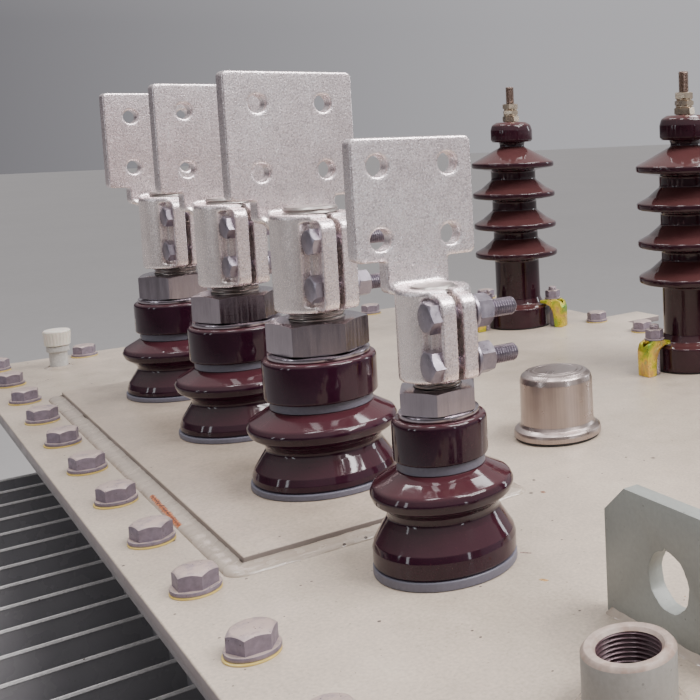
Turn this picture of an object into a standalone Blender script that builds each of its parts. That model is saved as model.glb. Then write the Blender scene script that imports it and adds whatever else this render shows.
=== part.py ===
"""Oil-filled distribution transformer, ground to terminal flags.

Row frame: origin at the bottom centre on the floor, +Z up, the long side along X,
the low-voltage side towards -Y, the high-voltage side towards +Y. Metres.
"""
import math
import bpy
import bmesh
from mathutils import Matrix, Vector

# ---------------------------------------------------------------- constants
GAP = 0.0003                      # clearance between neighbouring pieces
ZC = 1.150                        # top of the cover
COVER_X, COVER_Y, COVER_T = 0.6667, 0.3746, 0.008
EAR_X, EAR_W, EAR_L = 0.308, 0.052, 0.061
FLANGE_T = 0.012
TANK_X, TANK_Y = 0.607, 0.3146
BASE_X, BASE_Y0, BASE_Y1, BASE_H, BASE_T = 0.580, 0.205, 0.270, 0.080, 0.010
FIN_TOP, FIN_BOTTOM = 1.033, 0.170
FIN_PITCH, FIN_T = 0.050, 0.010
FIN_SIDE, FIN_END = 0.230, 0.180
LV_Y = -0.2128
LV_X = {"n": 0.2835, "c": 0.0855, "b": -0.1125, "a": -0.3105}
LV_TURN = {"n": 0.0, "c": 5.0, "b": 5.0, "a": 5.0}
LV_NUT_TURN = {"n": 0.0, "c": 30.0, "b": 12.0, "a": 22.0}
HV_Y = 0.2578
HV_X = {"c": 0.3669, "b": -0.0077, "a": -0.3824}
PLATE_X0, PLATE_X1 = -0.4032, 0.2004
PLATE_Y0, PLATE_Y1 = -0.3143, -0.1150
PLATE_T = 0.008
LUG_X, LUG_Y, LUG_W, LUG_H, LUG_T = 0.4672, -0.1721, 0.112, 0.0773, 0.010
LUG_CUT_X, LUG_CUT_Z = 0.019, 0.0166
LUG_HOLE_R, LUG_HOLE_Z = 0.0167, 0.035
CAP_X, CAP_Y = 0.1034, -0.0039
SOCKET_X, SOCKET_Y, SOCKET_R, SOCKET_BORE, SOCKET_H = 0.4990, -0.2290, 0.0228, 0.0162, 0.0320
POCKET_X, POCKET_Y = -0.5924, -0.2850

# ---------------------------------------------------------------- scene
for ob in list(bpy.data.objects):
    bpy.data.objects.remove(ob, do_unlink=True)
scene = bpy.context.scene
parts = bpy.data.collections.new("power_transformer")
cutters = bpy.data.collections.new("cutters")
scene.collection.children.link(parts)
scene.collection.children.link(cutters)


def material(name, rgb, rough, metal):
    m = bpy.data.materials.new(name)
    m.use_nodes = True
    b = m.node_tree.nodes.get("Principled BSDF")
    b.inputs["Base Color"].default_value = (rgb[0], rgb[1], rgb[2], 1.0)
    b.inputs["Roughness"].default_value = rough
    b.inputs["Metallic"].default_value = metal
    m.diffuse_color = (rgb[0], rgb[1], rgb[2], 1.0)
    return m


M = {
    "paint": material("cover_paint", (0.53, 0.49, 0.44), 0.45, 0.0),
    "tank": material("tank_paint", (0.40, 0.38, 0.36), 0.5, 0.0),
    "grey": material("green_grey_paint", (0.22, 0.23, 0.20), 0.5, 0.0),
    "lv": material("maroon_porcelain", (0.09, 0.02, 0.028), 0.12, 0.0),
    "hv": material("chestnut_porcelain", (0.13, 0.035, 0.028), 0.15, 0.0),
    "seal": material("blue_grey_rubber", (0.15, 0.16, 0.24), 0.6, 0.0),
    "tin": material("tinned_casting", (0.60, 0.57, 0.52), 0.42, 0.9),
    "nut": material("bright_steel", (0.62, 0.60, 0.60), 0.3, 1.0),
    "brass": material("brass", (0.62, 0.45, 0.22), 0.3, 1.0),
    "chromate": material("yellow_chromate", (0.55, 0.50, 0.10), 0.35, 0.8),
    "cap": material("polished_steel", (0.65, 0.63, 0.60), 0.15, 1.0),
    "white": material("white_plastic", (0.75, 0.72, 0.66), 0.4, 0.0),
    "dark": material("black_rubber", (0.03, 0.03, 0.03), 0.7, 0.0),
}


def place(me, name, mat, coll, loc=(0, 0, 0)):
    ob = bpy.data.objects.new(name, me)
    if mat is not None:
        me.materials.append(M[mat])
    coll.objects.link(ob)
    ob.location = loc
    if coll is cutters:
        ob.hide_render = True
        ob.display_type = "WIRE"
    return ob


def finish(bm, name):
    bmesh.ops.remove_doubles(bm, verts=bm.verts[:], dist=1e-6)
    bmesh.ops.recalc_face_normals(bm, faces=bm.faces[:])
    me = bpy.data.meshes.new(name)
    bm.to_mesh(me)
    bm.free()
    return me


def box(name, lo, hi, mat, coll=None, loc=(0, 0, 0)):
    bm = bmesh.new()
    bmesh.ops.create_cube(bm, size=1.0)
    s = [hi[i] - lo[i] for i in range(3)]
    c = [(hi[i] + lo[i]) / 2 for i in range(3)]
    bmesh.ops.scale(bm, vec=s, verts=bm.verts[:])
    bmesh.ops.translate(bm, vec=c, verts=bm.verts[:])
    return place(finish(bm, name), name, mat, coll or parts, loc)


def cyl(name, r, z0, z1, seg, mat, coll=None, loc=(0, 0, 0), axis="Z", turn=0.0, smooth=True):
    bm = bmesh.new()
    bmesh.ops.create_cone(bm, cap_ends=True, cap_tris=False, segments=seg, radius1=r, radius2=r, depth=z1 - z0)
    bmesh.ops.rotate(bm, matrix=Matrix.Rotation(turn, 3, "Z"), verts=bm.verts[:])
    bmesh.ops.translate(bm, vec=(0, 0, (z0 + z1) / 2), verts=bm.verts[:])
    if axis == "X":
        bmesh.ops.rotate(bm, matrix=Matrix.Rotation(math.pi / 2, 3, "Y"), verts=bm.verts[:])
    elif axis == "Y":
        bmesh.ops.rotate(bm, matrix=Matrix.Rotation(-math.pi / 2, 3, "X"), verts=bm.verts[:])
    if smooth:
        for f in bm.faces:
            f.smooth = len(f.verts) == 4
    return place(finish(bm, name), name, mat, coll or parts, loc)


def prism(name, outline, z0, z1, mat, coll=None, loc=(0, 0, 0)):
    """Flat outline filled as one face and pushed up from z0 to z1."""
    bm = bmesh.new()
    vs = [bm.verts.new((x, y, z0)) for x, y in outline]
    f = bm.faces.new(vs)
    r = bmesh.ops.extrude_face_region(bm, geom=[f])
    bmesh.ops.translate(bm, vec=(0, 0, z1 - z0), verts=[g for g in r["geom"] if isinstance(g, bmesh.types.BMVert)])
    return place(finish(bm, name), name, mat, coll or parts, loc)


def lathe(name, pts, steps, mat, coll=None, loc=(0, 0, 0), turn=0.0):
    """Turned piece: the profile lies at +X and runs down its outer side."""
    me = bpy.data.meshes.new(name)
    me.from_pydata([(r, 0.0, z) for r, z in pts], [(i, i + 1) for i in range(len(pts) - 1)], [])
    ob = place(me, name, mat, coll or parts, loc)
    ob.rotation_euler = (0, 0, turn)
    s = ob.modifiers.new("turn", "SCREW")
    s.axis = "Z"
    s.angle = math.tau
    s.steps = steps
    s.render_steps = steps
    s.use_merge_vertices = True
    s.merge_threshold = 0.00001
    s.use_smooth_shade = True
    s.use_normal_calculate = False
    return ob


def boolean(ob, tool, op):
    m = ob.modifiers.new(op.lower(), "BOOLEAN")
    m.operation = op
    m.solver = "EXACT"
    m.object = tool
    return ob


# ---------------------------------------------------------------- tank
box("tank_body", (-TANK_X, -TANK_Y, BASE_H + GAP), (TANK_X, TANK_Y, ZC - COVER_T - GAP), "tank")

fr = box("tank_flange", (-COVER_X + 0.004, -COVER_Y + 0.004, ZC - COVER_T - GAP - FLANGE_T),
         (COVER_X - 0.004, COVER_Y - 0.004, ZC - COVER_T - GAP), "tank")
boolean(fr, box("cut_flange", (-TANK_X - GAP, -TANK_Y - GAP, 1.0), (TANK_X + GAP, TANK_Y + GAP, 1.3), None, cutters), "DIFFERENCE")

# corrugated walls: a sheet folded into deep flat fins
def comb(count, depth, half, sheet=0.003):
    """Outline of a folded wall, standing out towards +Y from y=0."""
    pts = [(-half, 0.0), (-half, sheet)]
    for i in range(count):
        x = (i - (count - 1) / 2) * FIN_PITCH
        pts += [(x - FIN_T / 2, sheet), (x - FIN_T / 2, depth), (x + FIN_T / 2, depth), (x + FIN_T / 2, sheet)]
    pts += [(half, sheet), (half, 0.0)]
    return pts


for nm, cnt, dep, half, ang, off in (
        ("fins_lv", 23, FIN_SIDE, TANK_X, math.pi, (0, -TANK_Y - GAP, 0)),
        ("fins_hv", 23, FIN_SIDE, TANK_X, 0.0, (0, TANK_Y + GAP, 0)),
        ("fins_far", 12, FIN_END, TANK_Y, math.pi / 2, (-TANK_X - GAP, 0, 0)),
        ("fins_near", 12, FIN_END, TANK_Y, -math.pi / 2, (TANK_X + GAP, 0, 0))):
    bm = bmesh.new()
    vs = [bm.verts.new((x, y, FIN_BOTTOM)) for x, y in comb(cnt, dep, half - 0.001)]
    f = bm.faces.new(vs)
    r = bmesh.ops.extrude_face_region(bm, geom=[f])
    bmesh.ops.translate(bm, vec=(0, 0, FIN_TOP - FIN_BOTTOM), verts=[g for g in r["geom"] if isinstance(g, bmesh.types.BMVert)])
    bmesh.ops.rotate(bm, matrix=Matrix.Rotation(ang, 3, "Z"), verts=bm.verts[:])
    bmesh.ops.translate(bm, vec=off, verts=bm.verts[:])
    place(finish(bm, nm), nm, "tank", parts)

# base: two channels along X, open outwards
for nm, sy in (("base_channel_lv", -1), ("base_channel_hv", 1)):
    ya, yb = sorted((sy * BASE_Y0, sy * BASE_Y1))
    ch = box(nm, (-BASE_X, ya, 0.0), (BASE_X, yb, BASE_H), "tank")
    ya, yb = sorted((sy * (BASE_Y0 + BASE_T), sy * (BASE_Y1 + 0.03)))
    boolean(ch, box("cut_" + nm, (-BASE_X - 0.02, ya, BASE_T), (BASE_X + 0.02, yb, BASE_H - BASE_T), None, cutters), "DIFFERENCE")

# ---------------------------------------------------------------- cover
c = box("cover_plate", (-COVER_X, -COVER_Y, ZC - COVER_T), (COVER_X, COVER_Y, ZC), "paint")
for sx in (-1, 1):
    e = box("ear_%s" % ("far" if sx < 0 else "near"), (sx * EAR_X - EAR_W / 2, COVER_Y - 0.02, ZC - COVER_T),
            (sx * EAR_X + EAR_W / 2, COVER_Y + EAR_L, ZC), None, cutters)
    boolean(c, e, "UNION")
box("lv_insert_plate", (PLATE_X0, PLATE_Y0, ZC + GAP), (PLATE_X1, PLATE_Y1, ZC + PLATE_T), "paint")

# lifting lugs
def lug(name, x):
    w, h, cx, cz = LUG_W / 2, LUG_H, LUG_CUT_X, LUG_CUT_Z
    bm = bmesh.new()
    pts = [(-w, 0), (w, 0), (w, h - cz), (w - cx, h), (-w + cx, h), (-w, h - cz)]
    vs = [bm.verts.new((px, -LUG_T / 2, pz)) for px, pz in pts]
    f = bm.faces.new(vs)
    r = bmesh.ops.extrude_face_region(bm, geom=[f])
    bmesh.ops.translate(bm, vec=(0, LUG_T, 0), verts=[g for g in r["geom"] if isinstance(g, bmesh.types.BMVert)])
    ob = place(finish(bm, name), name, "grey", parts, (x, LUG_Y, ZC + GAP))
    boolean(ob, cyl("cut_" + name, LUG_HOLE_R, -0.05, 0.05, 24, None, cutters, (x, LUG_Y, ZC + LUG_HOLE_Z), "Y"), "DIFFERENCE")


lug("lifting_lug_near", LUG_X)
lug("lifting_lug_far", -LUG_X)

# ---------------------------------------------------------------- low-voltage bushings
def hexa(name, af, z0, z1, loc, turn, mat=None, coll=None):
    return cyl(name, af / math.sqrt(3.0), z0, z1, 6, mat, coll or cutters, loc, turn=turn, smooth=False)


def terminal(tag, L, turn, bore, bar, jaw, slit, neck, flag, holes):
    """Clamp barrel with two jaws towards +X and a four-hole flag standing behind it."""
    n = "lv_%s_" % tag
    bar_r, z0, z1 = bar
    reach, half, jz0, jz1 = jaw
    w, th, front, fz0, fz1 = flag
    x0 = -front - th
    tools = []
    t = cyl(n + "terminal", bar_r, z0, z1, 28, "tin", parts, L)
    tools.append((box(n + "jaws", (bar_r * 0.5, -half, jz0), (reach, half, jz1), None, cutters, L), "UNION"))
    tools.append((box(n + "flag", (x0, -w / 2, fz0), (-front, w / 2, fz1), None, cutters, L), "UNION"))
    tools.append((box(n + "neck", (x0, -neck[0], neck[1]), (-front, neck[0], fz0 + 0.004), None, cutters, L), "UNION"))
    tools.append((cyl(n + "bore", bore, z0 - 0.02, z1 + 0.02, 20, None, cutters, L), "DIFFERENCE"))
    tools.append((box(n + "slit", (bore * 0.5, -slit / 2, z0 - 0.02), (reach + 0.02, slit / 2, z1 + 0.02), None, cutters, L), "DIFFERENCE"))
    hs, hr, ha, hb = holes
    for i, (sy, z) in enumerate(((-1, ha), (1, ha), (-1, hb), (1, hb))):
        h = cyl(n + "hole_%d" % i, hr, -0.05, 0.05, 12, None, cutters, L, "X")
        h.data.transform(Matrix.Translation((x0 + th / 2, sy * hs / 2, z)))
        tools.append((h, "DIFFERENCE"))
    t.rotation_euler = (0, 0, turn)
    for tool, op in tools:
        tool.rotation_euler = (0, 0, turn)
        boolean(t, tool, op)


def lv_assembly(tag, seal, body, top, collar, stud_r, washer, nut, stud_top):
    """Seal, turned porcelain, porcelain collar and stud with its washer and nut; heights over the cover."""
    n = "lv_%s_" % tag
    L = (LV_X[tag], LV_Y, ZC)
    cyl(n + "base_seal", seal[0], seal[1] + GAP, seal[2], 28, "seal", parts, L)
    bore = stud_r + GAP
    zi = seal[2] + GAP
    lathe(n + "insulator", [(bore, top)] + body + [(bore, zi), (bore, top)], 24, "lv", parts, L)
    cr, c0, c1, foot = collar
    zc = top + GAP
    lathe(n + "collar", [
        (bore, c1), (cr - 0.0050, c1), (cr - 0.0014, c1 - 0.0014), (cr, c1 - 0.0050), (cr, c0 + 0.0060), (cr - 0.0020, c0 + 0.0020),
        (cr - 0.0060, c0), (foot, c0), (foot, zc), (bore, zc), (bore, c1)],
        22, "lv", parts, L)
    wr, w0, w1 = washer
    af, n1 = nut
    st = lathe(n + "stud", [
        (0.0, stud_top), (stud_r - 0.0015, stud_top), (stud_r, stud_top - 0.0015), (stud_r, w1),
        (wr, w1), (wr, w0), (stud_r, w0), (stud_r, zi + 0.001), (0.0, zi + 0.001)],
        20, "nut", parts, L)
    boolean(st, hexa(n + "nut", af, w1 - 0.001, n1, L, math.radians(LV_NUT_TURN[tag])), "UNION")


# neutral, on the cover itself
lv_assembly("n", (0.0455, 0.0, 0.0069), [
    (0.0262, 0.0660), (0.0285, 0.0652), (0.0345, 0.0620), (0.0415, 0.0588), (0.0446, 0.0560), (0.0454, 0.0527), (0.0446, 0.0492),
    (0.0415, 0.0466), (0.0380, 0.0430), (0.0357, 0.0395), (0.0353, 0.0370), (0.0368, 0.0335), (0.0410, 0.0272),
    (0.0440, 0.0222), (0.0453, 0.0180), (0.0453, 0.0100), (0.0445, 0.0072)], 0.0660,
    (0.0301, 0.0725, 0.0990, 0.0262), 0.015, (0.0256, 0.0993, 0.1025), (0.0460, 0.1180), 0.1805)
terminal("n", (LV_X["n"], LV_Y, ZC), math.radians(LV_TURN["n"]), 0.0153, (0.0237, 0.1230, 0.1820), (0.0340, 0.0125, 0.1255, 0.1790), 0.0045,
         (0.0215, 0.1670), (0.0840, 0.0125, 0.0180, 0.1980, 0.2768), (0.0488, 0.0068, 0.2120, 0.2590))
# phases, on the insert plate
for tg in ("c", "b", "a"):
    lv_assembly(tg, (0.0563, PLATE_T, 0.0145), [
        (0.0372, 0.0690), (0.0400, 0.0684), (0.0455, 0.0660), (0.0530, 0.0622), (0.0562, 0.0592), (0.0570, 0.0559), (0.0560, 0.0522),
        (0.0525, 0.0492), (0.0475, 0.0455), (0.0441, 0.0418), (0.0432, 0.0388), (0.0450, 0.0345), (0.0495, 0.0285),
        (0.0527, 0.0238), (0.0540, 0.0195), (0.0540, 0.0172), (0.0532, 0.0148)], 0.0690,
        (0.0431, 0.0762, 0.1080, 0.0372), 0.021, (0.0388, 0.1083, 0.1118), (0.0665, 0.1372), 0.2205)
    terminal(tg, (LV_X[tg], LV_Y, ZC), math.radians(LV_TURN[tg]), 0.0213, (0.0310, 0.1445, 0.2200), (0.0440, 0.0140, 0.1465, 0.2175), 0.0045,
             (0.0325, 0.1980), (0.1050, 0.0130, 0.0225, 0.2305, 0.3302), (0.0535, 0.0068, 0.2518, 0.3052))

# ---------------------------------------------------------------- high-voltage bushings
def shed(z, r_top, rise):
    return [(r_top, z + rise), (0.0440, z + 0.0125), (0.0550, z + 0.0040), (0.0575, z + 0.0012), (0.0572, z - 0.0016), (0.0545, z - 0.0036), (0.0318, z - 0.0085)]


for tg in ("a", "b", "c"):
    L = (HV_X[tg], HV_Y, ZC)
    pts = [(0.0061, 0.2905), (0.0200, 0.2905), (0.0252, 0.2865), (0.0283, 0.2810), (0.0291, 0.2760), (0.0291, 0.2680), (0.0270, 0.2630),
           (0.0176, 0.2612), (0.0171, 0.2590)]
    for zz, rt, up in ((0.2311, 0.0171, 0.0240), (0.1887, 0.0312, 0.0215), (0.1454, 0.0312, 0.0215), (0.1048, 0.0312, 0.0215)):
        pts += shed(zz, rt, up)
    pts += [(0.0312, 0.0930), (0.0312, 0.0380), (0.0325, 0.0335), (0.0360, 0.0312), (0.0420, 0.0300), (0.0445, 0.0275), (0.0448, 0.0240),
            (0.0448, 0.0015), (0.0436, GAP), (0.0061, GAP), (0.0061, 0.2905)]
    lathe("hv_%s_insulator" % tg, pts, 18, "hv", parts, L)
    lathe("hv_%s_stud" % tg, [
        (0.0, 0.3400), (0.0046, 0.3400), (0.0058, 0.3388), (0.0058, 0.3160), (0.0112, 0.3160), (0.0112, 0.2908),
        (0.0058, 0.2908), (0.0058, 0.0010), (0.0, 0.0010)], 16, "brass", parts, L)
    for i, a in enumerate((-90.0, 30.0, 150.0)):
        # a bent clamp: foot on the cover, bridge over the base flange, a stud and nut on top
        bm = bmesh.new()
        prof = [(0.0385, 0.0325), (0.0385, 0.0385), (0.0550, 0.0385), (0.0670, 0.0355), (0.0700, 0.0320), (0.0710, GAP), (0.0650, GAP),
                (0.0635, 0.0250), (0.0590, 0.0305), (0.0530, 0.0325)]
        vs = [bm.verts.new((px, -0.0095, pz)) for px, pz in prof]
        f = bm.faces.new(vs)
        r = bmesh.ops.extrude_face_region(bm, geom=[f])
        bmesh.ops.translate(bm, vec=(0, 0.019, 0), verts=[g for g in r["geom"] if isinstance(g, bmesh.types.BMVert)])
        rot = math.radians(a)
        bmesh.ops.rotate(bm, matrix=Matrix.Rotation(rot, 3, "Z"), verts=bm.verts[:])
        nm = "hv_%s_clamp_%d" % (tg, i + 1)
        ob = place(finish(bm, nm), nm, "chromate", parts, L)
        d = Vector((math.cos(rot), math.sin(rot), 0.0)) * 0.0535
        boolean(ob, cyl(nm + "_nut", 0.0098, 0.0340, 0.0530, 6, None, cutters, (L[0] + d.x, L[1] + d.y, L[2]), turn=rot, smooth=False), "UNION")
        boolean(ob, cyl(nm + "_end", 0.0050, 0.0400, 0.0600, 10, None, cutters, (L[0] + d.x, L[1] + d.y, L[2]), turn=rot, smooth=False), "UNION")

# ---------------------------------------------------------------- cover fittings
lathe("tap_changer_cap", [
    (0.0, 0.0610), (0.0240, 0.0610), (0.0290, 0.0600), (0.0318, 0.0575), (0.0330, 0.0535), (0.0330, 0.0110), (0.0345, 0.0085),
    (0.0380, 0.0075), (0.0391, 0.0055), (0.0391, 0.0022), (0.0375, 0.0022), (0.0375, GAP), (0.0, GAP)],
    28, "cap", parts, (CAP_X, CAP_Y, ZC))

lathe("filler_socket", [
    (SOCKET_BORE, SOCKET_H), (SOCKET_R - 0.001, SOCKET_H), (SOCKET_R, SOCKET_H - 0.001), (SOCKET_R, GAP), (0.0, GAP), (0.0, 0.004),
    (SOCKET_BORE, 0.004), (SOCKET_BORE, SOCKET_H)], 28, "grey", parts, (SOCKET_X, SOCKET_Y, ZC))

lathe("pocket_stub", [(0.0, 0.0280), (0.0126, 0.0280), (0.0126, 0.0210), (0.0100, 0.0205), (0.0100, GAP), (0.0, GAP)], 20, "grey", parts,
      (POCKET_X, POCKET_Y, ZC))
lathe("pocket_cap", [
    (0.0, 0.0480), (0.0135, 0.0480), (0.0150, 0.0465), (0.0152, 0.0440), (0.0140, 0.0283), (0.0, 0.0283)],
    20, "white", parts, (POCKET_X, POCKET_Y, ZC))
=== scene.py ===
import math
import random

import bmesh
import bpy
from mathutils import Matrix, Vector, noise


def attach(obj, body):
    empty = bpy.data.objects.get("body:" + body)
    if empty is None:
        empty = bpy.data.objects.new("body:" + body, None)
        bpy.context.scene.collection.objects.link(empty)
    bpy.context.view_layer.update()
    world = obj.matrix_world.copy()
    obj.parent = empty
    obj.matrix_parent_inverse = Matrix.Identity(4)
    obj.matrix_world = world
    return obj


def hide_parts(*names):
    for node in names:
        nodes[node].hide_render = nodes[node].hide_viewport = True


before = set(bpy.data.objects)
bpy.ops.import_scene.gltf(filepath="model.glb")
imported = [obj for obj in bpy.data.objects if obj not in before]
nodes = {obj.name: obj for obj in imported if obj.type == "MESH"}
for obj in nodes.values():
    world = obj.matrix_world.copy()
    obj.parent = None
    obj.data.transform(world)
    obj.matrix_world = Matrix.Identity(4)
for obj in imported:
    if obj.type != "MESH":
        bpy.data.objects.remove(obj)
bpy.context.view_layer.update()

link = bpy.context.scene.collection.objects.link

# ------------------------------------------------------------------ constants (metres)
ZC = 1.150
COVER_X, COVER_Y = 0.6667, 0.3746
LV_Y = -0.2128
LV_X = {"n": 0.2835, "c": 0.0855, "b": -0.1125, "a": -0.3105}
LV_TURN = {"n": 0.0, "c": 5.0, "b": 5.0, "a": 5.0}
NUT_TURN = {"n": 31.5, "c": 10.0, "b": 21.5, "a": 34.0}
HV_Y = 0.2578
HV_X = {"a": -0.3824, "b": -0.0077, "c": 0.3669}
PLATE = (-0.4032, 0.2004, -0.3143, -0.1150, 0.008)
LUG_X, LUG_Y, LUG_T = 0.4672, -0.1721, 0.010
CAP = (0.1034, -0.0039)
SOCKET = (0.4990, -0.2290)
POCKET = (-0.5924, -0.2850)
MM = 0.001


# ------------------------------------------------------------------ materials
class Mat:
    """A node material with a few short calls to add noise, bump and masks."""

    def __init__(self, name, color, rough=0.5, metal=0.0, **sockets):
        self.m = bpy.data.materials.new(name)
        self.m.use_nodes = True
        self.t = self.m.node_tree
        self.b = self.t.nodes.get("Principled BSDF")
        self.b.inputs["Base Color"].default_value = (*color, 1.0)
        self.b.inputs["Roughness"].default_value = rough
        self.b.inputs["Metallic"].default_value = metal
        for k, v in sockets.items():
            self.b.inputs[k.replace("_", " ")].default_value = v
        self.coord = self.t.nodes.new("ShaderNodeTexCoord").outputs["Object"]
        self.col = None
        self.base = (*color, 1.0)
        self.normal = None

    def node(self, kind, **kw):
        n = self.t.nodes.new(kind)
        for k, v in kw.items():
            setattr(n, k, v)
        return n

    def put(self, sock, val):
        if hasattr(val, "links") or hasattr(val, "is_output"):
            self.t.links.new(val, sock)
        else:
            sock.default_value = val

    def math(self, op, a, b=None, c=None, clamp=False):
        n = self.node("ShaderNodeMath", operation=op, use_clamp=clamp)
        self.put(n.inputs[0], a)
        if b is not None:
            self.put(n.inputs[1], b)
        if c is not None:
            self.put(n.inputs[2], c)
        return n.outputs[0]

    def mapped(self, scale=(1, 1, 1), loc=(0, 0, 0), rot=(0, 0, 0)):
        n = self.node("ShaderNodeMapping")
        self.put(n.inputs["Vector"], self.coord)
        n.inputs["Scale"].default_value = scale
        n.inputs["Location"].default_value = loc
        n.inputs["Rotation"].default_value = rot
        return n.outputs[0]

    def noise(self, scale, detail=2.0, rough=0.5, vec=None, out="Fac", distort=0.0):
        n = self.node("ShaderNodeTexNoise")
        self.put(n.inputs["Vector"], vec or self.coord)
        n.inputs["Scale"].default_value = scale
        n.inputs["Detail"].default_value = detail
        n.inputs["Roughness"].default_value = rough
        n.inputs["Distortion"].default_value = distort
        return n.outputs[out]

    def voronoi(self, scale, feature="F1", vec=None, out="Distance"):
        n = self.node("ShaderNodeTexVoronoi", feature=feature)
        self.put(n.inputs["Vector"], vec or self.coord)
        n.inputs["Scale"].default_value = scale
        return n.outputs[out]

    def ramp(self, fac, stops, interp="LINEAR"):
        n = self.node("ShaderNodeValToRGB")
        self.put(n.inputs["Fac"], fac)
        cr = n.color_ramp
        cr.interpolation = interp
        while len(cr.elements) > 1:
            cr.elements.remove(cr.elements[-1])
        cr.elements[0].position = stops[0][0]
        cr.elements[0].color = self.rgba(stops[0][1])
        for p, c in stops[1:]:
            e = cr.elements.new(p)
            e.color = self.rgba(c)
        return n.outputs["Color"]

    @staticmethod
    def rgba(c):
        if isinstance(c, (int, float)):
            return (c, c, c, 1.0)
        return (*c, 1.0) if len(c) == 3 else c

    def span(self, fac, lo, hi):
        n = self.node("ShaderNodeMapRange", clamp=True)
        self.put(n.inputs["Value"], fac)
        n.inputs["From Min"].default_value = lo
        n.inputs["From Max"].default_value = hi
        return n.outputs["Result"]

    def tint(self, fac, color, mode="MIX"):
        """Lays a colour over what is there, by a factor."""
        n = self.node("ShaderNodeMix", data_type="RGBA", blend_type=mode)
        self.put(n.inputs[0], fac)
        self.put(n.inputs[6], self.col if self.col is not None else self.base)
        self.put(n.inputs[7], self.rgba(color) if isinstance(color, (tuple, list)) else color)
        self.col = n.outputs[2]
        return self

    def mottle(self, scale, amount, detail=3.0, vec=None):
        """Light and dark variation of the colour."""
        f = self.noise(scale, detail, vec=vec)
        lo = tuple(v * (1 - amount) for v in self.base[:3])
        hi = tuple(min(1.0, v * (1 + amount)) for v in self.base[:3])
        c = self.ramp(f, [(0.3, lo), (0.7, hi)])
        if self.col is None:
            self.col = c
        else:
            g = self.ramp(f, [(0.3, 1 - amount), (0.7, 1 + amount)])
            self.tint(1.0, g, "MULTIPLY")
        return self

    def rough(self, fac, lo, hi, a=0.3, b=0.7):
        n = self.node("ShaderNodeMapRange", clamp=True)
        self.put(n.inputs["Value"], fac)
        n.inputs["From Min"].default_value = a
        n.inputs["From Max"].default_value = b
        n.inputs["To Min"].default_value = lo
        n.inputs["To Max"].default_value = hi
        self.t.links.new(n.outputs["Result"], self.b.inputs["Roughness"])
        return self

    def bump(self, height, strength, distance):
        n = self.node("ShaderNodeBump")
        n.inputs["Strength"].default_value = strength
        n.inputs["Distance"].default_value = distance
        self.put(n.inputs["Height"], height)
        if self.normal is not None:
            self.put(n.inputs["Normal"], self.normal)
        self.normal = n.outputs["Normal"]
        return self

    def done(self):
        if self.col is not None:
            self.t.links.new(self.col, self.b.inputs["Base Color"])
        if self.normal is not None:
            self.t.links.new(self.normal, self.b.inputs["Normal"])
            if self.b.inputs["Coat Weight"].default_value > 0:
                self.t.links.new(self.normal, self.b.inputs["Coat Normal"])
        return self.m


def specks(s, scale, size, share, color, seed=0.0):
    """Small dots: one in some of the cells of a fine division."""
    vec = s.mapped(loc=(seed, seed * 0.7, 0))
    v = s.node("ShaderNodeTexVoronoi", feature="F1")
    s.put(v.inputs["Vector"], vec)
    v.inputs["Scale"].default_value = scale
    near = s.math("LESS_THAN", v.outputs["Distance"], size)
    sep = s.node("ShaderNodeSeparateColor")
    s.put(sep.inputs[0], v.outputs["Color"])
    pick = s.math("LESS_THAN", sep.outputs[0], share)
    s.tint(s.math("MULTIPLY", near, pick), color)
    return s


def streak(s, p0, p1, width, color, core, wob=0.35, strength=1.0):
    """A stain along the line p0 to p1 on the cover, ragged at its edges."""
    sep = s.node("ShaderNodeSeparateXYZ")
    s.put(sep.inputs[0], s.coord)
    dx, dy = p1[0] - p0[0], p1[1] - p0[1]
    ln = math.hypot(dx, dy)
    ux, uy = dx / ln, dy / ln
    ax = s.math("SUBTRACT", sep.outputs[0], p0[0])
    ay = s.math("SUBTRACT", sep.outputs[1], p0[1])
    along = s.math("ADD", s.math("MULTIPLY", ax, ux), s.math("MULTIPLY", ay, uy))
    side = s.math("ADD", s.math("MULTIPLY", ax, -uy), s.math("MULTIPLY", ay, ux))
    t = s.math("MINIMUM", s.math("MAXIMUM", along, 0.0), ln)
    da = s.math("SUBTRACT", along, t)
    d = s.math("SQRT", s.math("ADD", s.math("MULTIPLY", side, side), s.math("MULTIPLY", da, da)))
    rag = s.noise(260.0, 4.0, 0.65)
    w = s.math("MULTIPLY", s.math("ADD", s.math("MULTIPLY", s.math("SUBTRACT", rag, 0.5), wob * 4.0), 1.0), width)
    f = s.math("DIVIDE", d, w)
    mask = s.ramp(f, [(0.0, 1.0), (0.45, 0.85), (1.0, 0.0)])
    s.tint(s.math("MULTIPLY", mask, strength), color)
    inner = s.ramp(s.math("ADD", f, s.math("MULTIPLY", s.noise(700.0, 2.0), 0.7)), [(0.35, 1.0), (0.75, 0.0)])
    s.tint(s.math("MULTIPLY", inner, strength), core)
    dots = s.math("MULTIPLY", s.ramp(f, [(0.7, 1.0), (1.5, 0.0)]), s.span(s.noise(620.0, 2.0, 0.6), 0.54, 0.60))
    s.tint(s.math("MULTIPLY", dots, strength), tuple(v * 0.35 for v in core))
    return s


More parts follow.
